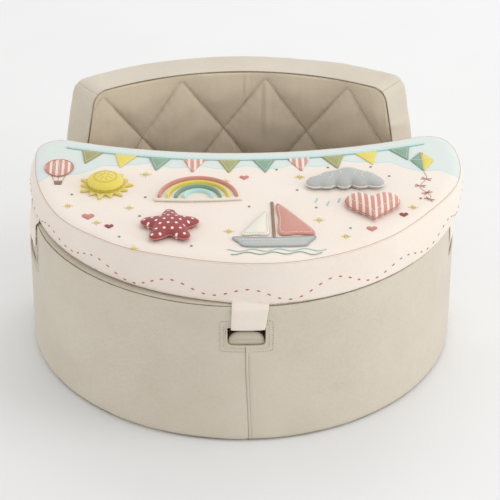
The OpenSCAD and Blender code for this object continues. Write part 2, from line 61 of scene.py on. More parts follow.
BASE_R = corners("side_cover_right")[1][0]          # radius of the round front
RIM_Z = corners("rim_cover")[1][2]                  # top of the base
FLOOR_Z = corners("floor_core")[1][2]               # foam floor of the well
BACK_R = 360.0                                      # outer radius of the backrest
BACK_CY = corners("rear_panel")[1][1] - BACK_R      # centre of the backrest's curve
QUILT_R = BACK_R - 45                               # foam face behind the quilted panel
FRONT_R = QUILT_R - 3                               # seams of the quilted panel
BACK_Z = corners("back_top_band")[1][2]             # top of the backrest
BACK_HALF = 37.3                                    # angle from the middle of the back to an end
LEAN = 11.0                                         # inward lean of the end faces
CORNER_R = 20.0                                     # round top corners of the backrest
MITRE = 0.5                                         # share of a top corner that belongs to the end band
FRONT_ROUND, REAR_ROUND = 1.1, 10.0                 # soft edges along the top of the backrest
WALL = 50.0                                         # foam wall round the well
FOOT = 8.0                                          # soft lower edge
RIM_ROLL = 3.0                                      # soft edge of the rim
RIM_SEAM = 50.0                                     # angle up the soft edge at which the rim's seam runs
SEAM_GAP = 8.0                                      # half of the angle that the open seam takes up
RIM_SEAM_Z = RIM_Z - RIM_ROLL                       # height at which the wall starts to round over
WELL_ROLL = 6.0                                     # soft edge of the well
WELL_SEAM_Z = RIM_Z - 12                            # seam between the rim cover and the well's lining
WELL_R = BASE_R - WALL


def meeting(r, back):
    """Angles, about the base's and the back's centre, at which a front circle and a rear circle meet."""
    y = (r ** 2 - back ** 2 + BACK_CY ** 2) / (2 * BACK_CY)
    x = math.sqrt(r ** 2 - y ** 2)
    return 90 + math.degrees(math.atan2(y, x)), math.degrees(math.atan2(x, y - BACK_CY))


CORNER_PHI, CORNER_PSI = meeting(BASE_R, BACK_R)    # rear corners of the base
WELL_PHI, WELL_PSI = meeting(WELL_R, FRONT_R)       # rear corners of the well

TRAY_X, TRAY_Y, TRAY_R = 5.5, 7.0, 255.0            # centre and radius of the tray's front edge
REAR_R, TIP_R = 640.0, 35.0                         # hollow rear edge and round tips of the tray
TRAY_Z = corners("tray_bottom")[0][2]
LOW_SEAM_Z = corners("tray_bottom")[1][2]
HIGH_SEAM_Z = corners("tray_top")[0][2]
TRAY_TOP_Z = corners("tray_top")[1][2]
TRAY_DROP, TRAY_EDGE = 4.0, 16.0                    # fall of the tray's top to its seam, and the fall's width
TOY_Z = corners("toy_sun")[0][2]
REAR_D = 4.5 - TRAY_Y + REAR_R                      # from the tray's centre to the hollow edge's centre

SLOT_W, SLOT_Z, SLOT_TOP, SLOT_CORNER = 42.6, 132.3, 155.0, 5.0     # width, lower and upper edge, round corners
POCKET_R = BASE_R - 1.5 - 35                        # back of the pockets behind the slots
STRAP_W = 41.0
TURNS = {"front": 0.0, "left": -78.0, "right": 78.0}                # angle of each strap and slot

# Middle of each toy and flap on the tray
SUN, HEART, STAR, CLOUD = (-158.0, -78.0), (146, -135), (-84, -176), (116, -80)
RAINBOW, BOAT, BALLOON, KITE = (-52.0, -114.0), (32.0, -196.0), (-213.0, -34.0), (211.0, -28.0)

# ---- small tools ----


def linear(code):
    """sRGB hex to Blender's linear colour."""
    parts = [int(code[i:i + 2], 16) / 255 for i in (1, 3, 5)]
    return (*[p / 12.92 if p < 0.04045 else ((p + 0.055) / 1.055) ** 2.4 for p in parts], 1.0)


def add(tree, kind, inputs=None, **settings):
    """Adds a node. A value in inputs is a number, or an output that gets linked."""
    made = tree.nodes.new(kind)
    for key, value in settings.items():
        setattr(made, key, value)
    for key, value in (inputs or {}).items():
        if isinstance(value, bpy.types.NodeSocket):
            tree.links.new(value, made.inputs[key])
        else:
            made.inputs[key].default_value = value
    return made


def ripple(points, wavelength, seed, waves=7):
    """Smooth random field of about -1 to 1 over points, whose features are about half a wavelength wide."""
    rng = np.random.default_rng(seed)
    total = np.zeros(points.shape[:-1])
    for _ in range(waves):
        d = rng.normal(size=3)
        d *= 2 * math.pi / (np.linalg.norm(d) * wavelength * rng.uniform(0.7, 1.5))
        total += np.sin(points @ d + rng.uniform(0, 2 * math.pi))
    return total / math.sqrt(waves * 1.6)


def step(x, low, high):
    """Smooth step from 0 at low to 1 at high."""
    t = np.clip((x - low) / (high - low), 0, 1)
    return t * t * (3 - 2 * t)


def make(name, points, faces, material, uv=None):
    """Mesh object from points in millimetres. uv is one pair per point, in metres."""
    data = bpy.data.meshes.new(name)
    data.from_pydata((np.asarray(points, float).reshape(-1, 3) * MM).tolist(), [], faces)
    if uv is not None:
        layer = data.uv_layers.new(name="Cloth")
        index = np.zeros(len(data.loops), int)
        data.loops.foreach_get("vertex_index", index)
        layer.data.foreach_set("uv", np.asarray(uv, float).reshape(-1, 2)[index].ravel())
    data.polygons.foreach_set("use_smooth", [True] * len(data.polygons))
    data.update()
    piece = bpy.data.objects.new(name, data)
    bpy.context.scene.collection.objects.link(piece)
    piece.data.materials.append(material)
    return piece


def quads(rows, cols, loop_rows=False, loop_cols=False):
    """Faces over a grid of rows and columns of points."""
    faces = []
    for i in range(rows if loop_rows else rows - 1):
        a, b = i * cols, (i + 1) % rows * cols
        for j in range(cols if loop_cols else cols - 1):
            k = (j + 1) % cols
            faces.append((a + j, b + j, b + k, a + k))
    return faces


def caps(rows, cols):
    """The two end faces of a tube made of rows of points."""
    return [tuple(range(cols)), tuple(range(rows * cols - 1, (rows - 1) * cols - 1, -1))]


def skirt(rows, cols, loop=False):
    """Faces between the edges of two equal grids, of which the second follows the first."""
    total, edge = rows * cols, []
    if not loop:
        edge += [(j, j + 1) for j in range(cols - 1)]
        edge += [((rows - 1) * cols + j + 1, (rows - 1) * cols + j) for j in range(cols - 1)]
    for i in range(rows if loop else rows - 1):
        k = (i + 1) % rows
        edge += [(k * cols, i * cols), (i * cols + cols - 1, k * cols + cols - 1)]
    return [(a, b, b + total, a + total) for a, b in edge]


def points_of(piece):
    """Points of a mesh, in millimetres."""
    return np.array([v.co for v in piece.data.vertices]) / MM


def move_points(piece, points):
    """Puts the points of a mesh at new places, in millimetres."""
    piece.data.vertices.foreach_set("co", (points * MM).ravel())
    piece.data.update()


def closed(line):
    """A closed outline with its first point again at its end."""
    return np.concatenate([line, line[:1]])


def along(points):
    """Distance run along a line of points."""
    return np.concatenate([[0], np.cumsum(np.linalg.norm(np.diff(points, axis=0), axis=1))])


def normals(grid, outward):
    """Unit normals of a grid of points. outward(points) gives rough directions that they should follow."""
    n = np.cross(np.gradient(grid, axis=0), np.gradient(grid, axis=1))
    n /= np.maximum(np.linalg.norm(n, axis=-1, keepdims=True), 1e-9)
    side = np.sign(np.sum(n * outward(grid), axis=-1, keepdims=True))
    return n * np.where(side == 0, 1, side)


def hem(d, depth=1.3, width=2.4):
    """How far cloth dips at distance d from a seam."""
    return -depth * np.exp(-np.asarray(d) / width)


# Depth and width of the dip at a soft seam and at ever tighter ones
SOFT, DEEP, FINE, TIGHT = (1.3, 2.4), (1.5, 1.3), (0.8, 1.1), (0.5, 0.7)
OPEN = (None, None, None, None)                     # a panel with free edges


def cloth(name, grid, outward, material, seams=(SOFT, SOFT, SOFT, SOFT), thickness=1.5, tuck=4.0, loop=False,
          lift=None):
    """Closed cloth panel over a grid of points. Its sewn sides dip and are turned in.

    seams gives, for the first row, last row, first column and last column, how that side is sewn, or None.
    loop joins the last row to the first, and lift is a height for each point.
    """
    grid = np.array(grid, float)
    n = normals(grid, outward)
    u = np.cumsum(np.linalg.norm(np.diff(grid, axis=0, prepend=grid[:1]), axis=2), axis=0)
    v = np.cumsum(np.linalg.norm(np.diff(grid, axis=1, prepend=grid[:, :1]), axis=2), axis=1)
    height = np.zeros(grid.shape[:2]) if lift is None else np.array(lift, float)
    for sewn, d in zip(seams, (u, u[-1:] - u, v, v[:, -1:] - v)):
        if sewn:
            height += hem(d, *sewn)
            height += 0.2 * sewn[0] * np.exp(-d / 7) * ripple(grid, 13, 5)
    outer = grid + n * height[..., None]
    inner = outer - n * thickness
    for sewn, side in zip(seams, ((0, slice(None)), (-1, slice(None)), (slice(None), 0), (slice(None), -1))):
        if sewn:
            inner[side] = outer[side] - n[side] * tuck
    rows, cols = grid.shape[:2]
    total = rows * cols
    faces = quads(rows, cols, loop)
    faces += [tuple(k + total for k in face[::-1]) for face in faces] + skirt(rows, cols, loop)
    uv = np.stack([u, v], axis=-1) * MM
    piece = make(name, np.stack([outer, inner]), faces, material, np.stack([uv, uv]))
    fix_normals(piece)
    return piece


def fix_normals(piece):
    """Turns the faces of a closed mesh outwards."""
    work = bmesh.new()
    work.from_mesh(piece.data)
    bmesh.ops.recalc_face_normals(work, faces=work.faces)
    work.to_mesh(piece.data)
    work.free()


def sweep(name, line, section, across, material, looped=False):
    """Solid along a line of points: section is points (across, up), and across gives the sideways direction."""
    line, section = np.asarray(line, float), np.asarray(section, float)
    ahead = np.roll(line, -1, 0) - np.roll(line, 1, 0)
    if not looped:
        ahead[0], ahead[-1] = line[1] - line[0], line[-1] - line[-2]
    ahead /= np.linalg.norm(ahead, axis=1, keepdims=True)
    side = np.broadcast_to(np.asarray(across, float), line.shape)
    side = side - ahead * np.sum(side * ahead, axis=1, keepdims=True)
    side = side / np.linalg.norm(side, axis=1, keepdims=True)
    up = np.cross(side, ahead)
    points = line[:, None] + section[None, :, :1] * side[:, None] + section[None, :, 1:] * up[:, None]
    rows, cols = points.shape[:2]
    faces = quads(rows, cols, looped, True)
    if not looped:
        faces += caps(rows, cols)
    ring = np.linspace(0, 2 * math.pi * np.abs(section).max(), cols)
    run = along(line)
    uv = np.stack(np.meshgrid(run, ring, indexing="ij"), -1) * MM
    piece = make(name, points, faces, material, uv)
    fix_normals(piece)
    return piece


def oval(wide, high, count=10, power=1.0):
    """Closed section: an oval, or with a power below 1 a squarer one."""
    t = np.linspace(0, 2 * math.pi, count, endpoint=False)
    c, s = np.cos(t), np.sin(t)
    x, y = (np.sign(w) * np.abs(w) ** power for w in (c, s))
    return np.stack([x * wide / 2, y * high / 2], -1)


def curve_through(points, per_span=8, looped=False):
    """Smooth line through a few points (Catmull-Rom)."""
    p = np.asarray(points, float)
    ends = (p[-1:], p[:2]) if looped else (2 * p[:1] - p[1:2], 2 * p[-1:] - p[-2:-1])
    p = np.concatenate([ends[0], p, ends[1]])
    t = np.linspace(0, 1, per_span, endpoint=False)[:, None]
    out = []
    for a, b, c, d in zip(p[:-3], p[1:-2], p[2:-1], p[3:]):
        bend, twist = 2 * a - 5 * b + 4 * c - d, 3 * b - a - 3 * c + d
        out.append(0.5 * (2 * b + (c - a) * t + bend * t ** 2 + twist * t ** 3))
    line = np.concatenate(out)
    return line if looped else np.concatenate([line, p[-2:-1]])


def drawn_in(piece):
    """Draws the top of the wall in beside the two side straps, which pull on its foam."""
    p = points_of(piece)
    phi, r = np.degrees(np.arctan2(p[:, 0], -p[:, 1])), np.hypot(p[:, 0], p[:, 1])
    pull = 4.2 * np.exp(-((phi + 83) / 14) ** 2) + 2.5 * np.exp(-((phi - 83) / 13) ** 2)
    pull *= step(p[:, 2], 130, 184) * (1 - step(p[:, 2], 185, 188)) * step(r, 212, 244)
    p[:, :2] *= (1 - pull / np.maximum(r, 1))[:, None]
    move_points(piece, p)


def seat(piece, body, slot, *nodes):
    """The piece rides on a body and stands for CAD nodes, which it hides. The slot argument is not used."""
    if body == "seat" or body.endswith("_strap"):
        drawn_in(piece)
    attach(piece, body)
    if nodes:
        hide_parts(*nodes)
    return piece


def soften(piece, levels=1):
    """Finishes a piece with a subdivision surface."""
    mod = piece.modifiers.new("Soften", "SUBSURF")
    mod.levels = mod.render_levels = levels
    return piece


# ---- materials ----


def material(name):
    """New node material with a Principled shader, as (material, tree, shader)."""
    made = bpy.data.materials.new(name)
    made.use_nodes = True
    tree = made.node_tree
    return made, tree, tree.nodes["Principled BSDF"]


def woven(name, pale, deep, thread, roughness=0.85, sheen=0.25, relief=0.25, weave_uv=True, decorate=None):
    """Woven cloth: plain weave of a given thread spacing in millimetres, with slightly uneven dye.

    decorate(tree, object coordinates, colour) may print on it.
    """
    made, tree, shader = material(name)
    place = add(tree, "ShaderNodeTexCoord")
    where = place.outputs["Object"]
    if weave_uv:
        pair = add(tree, "ShaderNodeSeparateXYZ", {0: place.outputs["UV"]})
        turn = math.pi / (thread * MM)
        waves = []
        for axis in ("X", "Y"):
            angle = add(tree, "ShaderNodeMath", {0: pair.outputs[axis], 1: turn}, operation="MULTIPLY")
            waves.append(add(tree, "ShaderNodeMath", {0: angle.outputs[0]}, operation="SINE").outputs[0])
        weave = add(tree, "ShaderNodeMath", {0: waves[0], 1: waves[1]}, operation="MULTIPLY").outputs[0]
    else:
        weave = add(tree, "ShaderNodeTexNoise",
                    {"Vector": where, "Scale": 1 / (thread * 1.5 * MM), "Detail": 1.0}).outputs[0]
    slub = add(tree, "ShaderNodeTexNoise", {"Vector": where, "Scale": 1 / (thread * 3 * MM), "Detail": 2.0})
    cloud = add(tree, "ShaderNodeTexNoise", {"Vector": where, "Scale": 14.0, "Detail": 3.0})
    tone = add(tree, "ShaderNodeMath", {0: slub.outputs[0], 1: 0.55}, operation="MULTIPLY")
    tone = add(tree, "ShaderNodeMath", {0: cloud.outputs[0], 1: tone.outputs[0]}, operation="ADD")
    tone = add(tree, "ShaderNodeMath", {0: tone.outputs[0], 1: 0.28}, operation="SUBTRACT", use_clamp=True)
    shade = add(tree, "ShaderNodeMix", {0: tone.outputs[0], 6: linear(deep), 7: linear(pale)}, data_type="RGBA")
    colour = shade.outputs[2]
    if decorate:
        colour = decorate(tree, where, colour)
    tree.links.new(colour, shader.inputs["Base Color"])
    fuzz = add(tree, "ShaderNodeMath", {0: slub.outputs[0], 1: 0.8}, operation="MULTIPLY")
    high = add(tree, "ShaderNodeMath", {0: weave, 1: fuzz.outputs[0]}, operation="ADD")
    bump = add(tree, "ShaderNodeBump",
               {"Strength": relief, "Distance": thread * 0.35 * MM, "Height": high.outputs[0]})
    tree.links.new(bump.outputs[0], shader.inputs["Normal"])
    shader.inputs["Roughness"].default_value = roughness
    shader.inputs["Specular IOR Level"].default_value = 0.25
    shader.inputs["Sheen Weight"].default_value = sheen
    shader.inputs["Sheen Roughness"].default_value = 0.5
    return made


def tray_print(tree, where, colour):
    """Pale blue band with a gently scalloped edge along the tray's hollow rear edge."""
    rear = (TRAY_X * MM, (TRAY_Y + REAR_D) * MM, 0)
    local = add(tree, "ShaderNodeVectorMath", {0: where, 1: rear}, operation="SUBTRACT")
    xyz = add(tree, "ShaderNodeSeparateXYZ", {0: local.outputs[0]})
    flat = add(tree, "ShaderNodeCombineXYZ", {"X": xyz.outputs["X"], "Y": xyz.outputs["Y"]})
    radius = add(tree, "ShaderNodeVectorMath", {0: flat.outputs[0]}, operation="LENGTH")
    angle = add(tree, "ShaderNodeMath", {0: xyz.outputs["X"], 1: math.pi / (56 * MM)}, operation="MULTIPLY")
    arch = add(tree, "ShaderNodeMath", {0: angle.outputs[0]}, operation="SINE")
    arch = add(tree, "ShaderNodeMath", {0: arch.outputs[0]}, operation="ABSOLUTE")
    arch = add(tree, "ShaderNodeMath", {0: arch.outputs[0], 1: 9 * MM}, operation="MULTIPLY")
    edge = add(tree, "ShaderNodeMath", {0: arch.outputs[0], 1: (REAR_R + 37) * MM}, operation="ADD")
    side = add(tree, "ShaderNodeMath", {0: xyz.outputs["X"]}, operation="ABSOLUTE")
    side = add(tree, "ShaderNodeMath", {0: side.outputs[0], 1: 140 * MM}, operation="SUBTRACT")
    side = add(tree, "ShaderNodeMath", {0: side.outputs[0], 1: 0.0}, operation="MAXIMUM")
    edge = add(tree, "ShaderNodeMath", {0: side.outputs[0], 1: 0.6, 2: edge.outputs[0]},
               operation="MULTIPLY_ADD").outputs[0]
    far = radius.outputs["Value"]
    inside = add(tree, "ShaderNodeMath", {0: far, 1: edge}, operation="LESS_THAN")
    line = add(tree, "ShaderNodeMath", {0: far, 1: edge, 2: 1.1 * MM}, operation="COMPARE")
    sky = add(tree, "ShaderNodeMix", {0: inside.outputs[0], 6: colour, 7: linear("#D9E1DD")}, data_type="RGBA")
    rim = add(tree, "ShaderNodeMix", {0: line.outputs[0], 6: sky.outputs[2], 7: linear("#BFE0DC")},
              data_type="RGBA")
    return rim.outputs[2]


def dotted(spacing, size, spot):
    """Decoration: round dots in staggered rows, seen from above."""
    def paint(tree, where, colour):
        xyz = add(tree, "ShaderNodeSeparateXYZ", {0: where})
        row = add(tree, "ShaderNodeMath", {0: xyz.outputs["Y"], 1: 1 / (spacing * 0.87 * MM)},
                  operation="MULTIPLY")
        whole = add(tree, "ShaderNodeMath", {0: row.outputs[0]}, operation="FLOOR")
        shift = add(tree, "ShaderNodeMath", {0: whole.outputs[0], 1: 0.5}, operation="MULTIPLY")
        col = add(tree, "ShaderNodeMath", {0: xyz.outputs["X"], 1: 1 / (spacing * MM)}, operation="MULTIPLY")
        col = add(tree, "ShaderNodeMath", {0: col.outputs[0], 1: shift.outputs[0]}, operation="ADD")
        cell = []
        for value in (col, row):
            part = add(tree, "ShaderNodeMath", {0: value.outputs[0], 1: 1.0}, operation="FLOORED_MODULO")
            middle = add(tree, "ShaderNodeMath", {0: part.outputs[0], 1: 0.5}, operation="SUBTRACT")
            cell.append(middle.outputs[0])
        flat = add(tree, "ShaderNodeCombineXYZ", {"X": cell[0], "Y": cell[1]})
        far = add(tree, "ShaderNodeVectorMath", {0: flat.outputs[0]}, operation="LENGTH")
        dot = add(tree, "ShaderNodeMath", {0: far.outputs["Value"], 1: size / 2 / spacing},
                  operation="LESS_THAN")
        mixed = add(tree, "ShaderNodeMix", {0: dot.outputs[0], 6: colour, 7: linear(spot)}, data_type="RGBA")
        return mixed.outputs[2]
    return paint


def stripes(pitch, share, shade):
    """Decoration: even stripes from side to side."""
    def paint(tree, where, colour):
        xyz = add(tree, "ShaderNodeSeparateXYZ", {0: where})
        run = add(tree, "ShaderNodeMath", {0: xyz.outputs["X"], 1: 1 / (pitch * MM)}, operation="MULTIPLY")
        part = add(tree, "ShaderNodeMath", {0: run.outputs[0], 1: 1.0}, operation="FLOORED_MODULO")
        on = add(tree, "ShaderNodeMath", {0: part.outputs[0], 1: share}, operation="LESS_THAN")
        mixed = add(tree, "ShaderNodeMix", {0: on.outputs[0], 6: colour, 7: linear(shade)}, data_type="RGBA")
        return mixed.outputs[2]
    return paint


# Every cloth is matt, with a slight sheen at a glancing angle and a slowly varying dye, so that wide plain
# areas don't look like plastic. Thread spacings of about 0.5 mm are drawn two or three times as coarse to show.

# Main cover: a plain weave that shows close to, with slightly uneven threads
canvas = woven("Washed cotton canvas, stone", "#D9D0C0", "#C9BFAD", 1.2)
# Smoother and a little darker, so that the well reads as an inner cloth
lining = woven("Cotton lining, stone", "#CFC6B4", "#BDB29D", 1.0, relief=0.2)
# Stone lining darkened to warm brown: painted shade, which gives the slots their depth
pocket_cloth_painted_shade = woven("Cotton pocket lining, darkened brown as painted shade", "#B9A585", "#A08A6C", 1.0, relief=0.3)
# Yellower than the canvas, with a bolder weave over the puffs
quilting = woven("Quilted cotton canvas, stone", "#DACBB5", "#C9BAA2", 1.2, relief=0.3)
# Fine weave under a soft nap, for the pale, smooth look of the tray and straps
peach = woven("Brushed cotton, pale peach", "#F3E8DD", "#EBDDD0", 1.0, sheen=0.3, relief=0.2)
# The same cloth, its deeper tone a touch lighter as painted light on the tray's upward-facing top, with a pale
# blue band printed on it
tray_top_cloth_painted_light = woven("Brushed cotton, printed sky band, painted light on top", "#F3E8DD", "#ECDFD3", 1.0, sheen=0.3, relief=0.2,
                   decorate=tray_print)
# Coarse and darker than the covers, as cloth that lies on the floor
grip_cloth = woven("Woven polyester base cloth", "#BDB29C", "#A79C86", 1.4)
# Smooth, half-gloss dots that catch the light on the matt base cloth
grip_rubber = woven("Moulded silicone dots", "#E3DED2", "#DAD4C6", 1.0, roughness=0.55, sheen=0, weave_uv=False)
# Pale and full of small pores
foam = woven("Open-cell polyurethane foam", "#F4F1E8", "#E6E1D3", 1.6, weave_uv=False, relief=0.6)
# Deep, tangled pile
loop_pile = woven("Loop tape, brushed nylon", "#D6D1C6", "#BDB7AA", 0.8, weave_uv=False, relief=0.9)
# Even rows of stiff hooks
hook_pile = woven("Hook tape, moulded nylon", "#C9C4B9", "#ABA598", 0.9, relief=0.9)
# Fine, flat and a shade darker than the canvas round it
zip_cloth = woven("Zip tape, woven polyester", "#B7AC96", "#A3987F", 0.9)
# Smooth enough for small highlights along the teeth
zip_coil = woven("Zip coil, moulded nylon", "#9D927B", "#8A7F69", 0.8, roughness=0.5, sheen=0, weave_uv=False)
# Twisted threads: one tone under the canvas, and one in its shade. A browner cord lies at the bottom of tight
# seams as painted shadow, the dark line of the seam's shaded groove
stone_thread = woven("Cotton thread, stone", "#AFA48D", "#968A72", 0.5, weave_uv=False, relief=0.5)
shade_thread = woven("Cotton thread, dark stone", "#7F7259", "#6B5F49", 0.5, weave_uv=False, relief=0.5)
# Painted shadow: a dark brown cord that stands for the shade in the groove of a tight seam
seam_shadow_cord = woven("Dark cord as painted shadow in tight seams", "#8A7A61", "#776851", 0.5, weave_uv=False)
# Warm lines on the pale tray: soft in its seam, strong in its running stitch
seam_thread = woven("Cotton thread, rose brown", "#D6B5A2", "#C6A08C", 0.5, weave_uv=False)
rust_thread = woven("Cotton thread, dusty red", "#C4706A", "#B05C58", 0.5, weave_uv=False, relief=0.6)
# Wool felt has no weave but a deep, cloudy nap. Brushed and printed cottons are a little smoother
felts = {
    "aqua": woven("Wool felt, aqua", "#C7E6E2", "#B3D9D5", 1.0, weave_uv=False, relief=0.6),
    "sage": woven("Wool felt, sage", "#8FAE9A", "#7C9E89", 1.0, weave_uv=False, relief=0.6),
    "olive": woven("Wool felt, olive", "#AFAE79", "#9B9A66", 1.0, weave_uv=False, relief=0.6),
    "rose": woven("Brushed cotton, dusty rose", "#D79E90", "#C98B7D", 1.0, weave_uv=False, relief=0.5),
    "yellow": woven("Brushed cotton, soft yellow", "#EBDB6E", "#DFCB58", 1.0, weave_uv=False, relief=0.5),
    "cream": woven("Wool felt, cream", "#F1EADC", "#E6DCCB", 1.0, weave_uv=False, relief=0.6),
    "grey": woven("Brushed cotton, grey", "#C0C2BF", "#ADB0AD", 1.0, weave_uv=False, relief=0.5),
    "maroon": woven("Printed cotton, maroon with white dots", "#A85457", "#974648", 1.0, weave_uv=False,
                    relief=0.4, decorate=dotted(9.0, 3.2, "#F4ECE4")),
    "striped": woven("Printed cotton, rose stripes", "#D79E90", "#C98B7D", 1.0, weave_uv=False, relief=0.4,
                     decorate=stripes(7.0, 0.4, "#F0DFD2")),
}
# Embroidery threads lie close and shine more than the cloths, so that stitches stand out as small strokes
threads = {name: woven("Embroidery thread, " + name, pale, deep, 0.6, weave_uv=False, roughness=0.6, relief=0.7)
           for name, pale, deep in (("aqua", "#A9D8D6", "#93C8C6"), ("sage", "#7FA48E", "#6C927C"),
                                    ("yellow", "#E7D55C", "#D9C448"), ("rose", "#D08A80", "#C0776E"),
                                    ("maroon", "#9C4B4E", "#8A3E41"), ("white", "#F4F0E8", "#E8E2D6"),
                                    ("grey", "#A7ABAB", "#979B9B"), ("brown", "#9A7F66", "#866B54"),
                                    ("gold", "#C9B24A", "#B89F3E"))}


def enamel():
    """Die-cast zinc with a stone enamel, whose gloss and tiny unevenness set it off from the cloth round it."""
    made, tree, shader = material("Enamelled zinc, stone")
    where = add(tree, "ShaderNodeTexCoord").outputs["Object"]
    grain = add(tree, "ShaderNodeTexNoise", {"Vector": where, "Scale": 900.0})
    shade = add(tree, "ShaderNodeMix", {0: grain.outputs[0], 6: linear("#B8AE99"), 7: linear("#C4BBA7")},
                data_type="RGBA")
    bump = add(tree, "ShaderNodeBump", {"Strength": 0.15, "Distance": 0.1 * MM, "Height": grain.outputs[0]})
    tree.links.new(shade.outputs[2], shader.inputs["Base Color"])
    tree.links.new(bump.outputs[0], shader.inputs["Normal"])
    shader.inputs["Roughness"].default_value = 0.35
    shader.inputs["Coat Weight"].default_value = 0.4
    return made


zip_enamel = enamel()

# ---- what repeats along a line or over points ----


def copies_tree():
    """Geometry Nodes tree that sets small beads along a path, or on every point of a mesh."""
    tree = bpy.data.node_groups.new("Beads along a path", "GeometryNodeTree")
    sockets = (("Path", "Geometry", None), ("Pitch", "Float", 0.003), ("Width", "Float", 0.0006),
               ("Height", "Float", 0.0006), ("Length", "Float", 0.002), ("On points", "Bool", False),
               ("Sides", "Int", 6), ("Finish", "Material", None))
    for name, kind, value in sockets:
        socket = tree.interface.new_socket(name, in_out="INPUT", socket_type="NodeSocket" + kind)
        if value is not None:
            socket.default_value = value
    tree.interface.new_socket("Beads", in_out="OUTPUT", socket_type="NodeSocketGeometry")
    given = add(tree, "NodeGroupInput").outputs
    line = add(tree, "GeometryNodeMeshToCurve", {"Mesh": given["Path"]})
    upright = add(tree, "GeometryNodeSetCurveNormal", {"Curve": line.outputs[0]})
    spaced = add(tree, "GeometryNodeCurveToPoints", {"Curve": upright.outputs[0], "Length": given["Pitch"]},
                 mode="LENGTH")
    bead = add(tree, "GeometryNodeMeshUVSphere", {"Segments": given["Sides"], "Rings": 5, "Radius": 0.5})
    size = add(tree, "ShaderNodeCombineXYZ", {"X": given["Width"], "Y": given["Height"], "Z": given["Length"]})
    run = add(tree, "GeometryNodeInstanceOnPoints", {
        "Points": spaced.outputs["Points"], "Instance": bead.outputs["Mesh"],
        "Rotation": spaced.outputs["Rotation"], "Scale": size.outputs[0]})
    spots = add(tree, "GeometryNodeInstanceOnPoints", {
        "Points": given["Path"], "Instance": bead.outputs["Mesh"], "Scale": size.outputs[0]})
    either = add(tree, "GeometryNodeSwitch", {"Switch": given["On points"], "False": run.outputs[0],
                                              "True": spots.outputs[0]}, input_type="GEOMETRY")
    real = add(tree, "GeometryNodeRealizeInstances", {"Geometry": either.outputs[0]})
    smooth = add(tree, "GeometryNodeSetShadeSmooth", {"Geometry": real.outputs[0]})
    painted = add(tree, "GeometryNodeSetMaterial", {"Geometry": smooth.outputs[0], "Material": given["Finish"]})
    add(tree, "NodeGroupOutput", {"Beads": painted.outputs[0]})
    return tree


BEADS = copies_tree()


def beads(name, lines, finish, pitch=3.2, size=(0.6, 0.6, 2.4), on_points=False, sides=6):
    """Plain mesh of beads along lines of points in millimetres, or on the points themselves."""
    points, edges = [], []
    for line in lines:
        start, count = len(points), len(line)
        points += [tuple(p) for p in np.asarray(line, float) * MM]
        edges += [(start + i, start + i + 1) for i in range(count - 1)]
    data = bpy.data.meshes.new(name)
    data.from_pydata(points, [] if on_points else edges, [])
    piece = bpy.data.objects.new(name, data)
    bpy.context.scene.collection.objects.link(piece)
    mod = piece.modifiers.new("Beads", "NODES")
    mod.node_group = BEADS
    values = {"Pitch": pitch * MM, "Width": size[0] * MM, "Height": size[1] * MM, "Length": size[2] * MM,
              "On points": on_points, "Sides": sides, "Finish": finish}
    for item in BEADS.interface.items_tree:
        if item.in_out == "INPUT" and item.name in values:
            mod[item.identifier] = values[item.name]
    plain = bpy.data.meshes.new_from_object(piece.evaluated_get(bpy.context.evaluated_depsgraph_get()))
    piece.modifiers.clear()
    piece.data = plain
    return piece


# ---- curves of the tub ----


def front(phi, r):
    """Plan point at angle phi from the front, about the base's centre."""
    a = np.radians(phi)
    return np.stack([r * np.sin(a), -r * np.cos(a)], -1)


def rear(psi, r):
    """Plan point at angle psi from the middle of the back, about the back's centre."""
    a = np.radians(psi)
    return np.stack([r * np.sin(a), BACK_CY + r * np.cos(a)], -1)


def raised(plan, z):
    """Plan points with a height."""
    z = np.broadcast_to(np.asarray(z, float), plan.shape[:-1])
    return np.concatenate([plan, z[..., None]], -1)


def outwards(p):
    """Rough outward direction on the tub's outer wall."""
    return np.concatenate([p[..., :2], np.zeros_like(p[..., :1])], -1)


def wall_profile(top):
    """Height and draw-in of the outer wall, from under the soft lower edge to the top."""
    a = np.radians(np.linspace(-72, 0, 9))
    foot = np.stack([FOOT * np.cos(a) - FOOT, FOOT + FOOT * np.sin(a)], -1)
    wall = np.stack([np.zeros(44), np.linspace(FOOT, top, 45)[1:]], -1)
    return np.concatenate([foot, wall])


# Centre of a round top corner of the backrest: height, and distance past the end's angle
SLOPE = math.radians(LEAN)
CORNER_Z = BACK_Z - CORNER_R
CORNER_X = ((RIM_Z - CORNER_Z) * math.sin(SLOPE) - CORNER_R) / math.cos(SLOPE)


def end_face(z, inset):
    """Distance of the leaning end face past the end's angle at height z, drawn in by inset.

    Below the rim the face is upright.
    """
    fall = (CORNER_Z - np.maximum(z, RIM_Z)) * math.sin(SLOPE)
    return CORNER_X + (fall + CORNER_R - inset) / math.cos(SLOPE)


def end_limit(z, inset, r):
    """Angle to the leaning, round-cornered end of the backrest at height z, drawn in by inset, at radius r."""
    z, reach = np.asarray(z, float), CORNER_R - inset
    arc = CORNER_X + np.sqrt(np.maximum(reach ** 2 - np.maximum(z - CORNER_Z, 0) ** 2, 0))
    x = np.where(z > CORNER_Z + reach * math.sin(SLOPE), arc, end_face(z, inset))
    return BACK_HALF + np.degrees(np.arctan2(x, r))


# ---- covers of the base ----


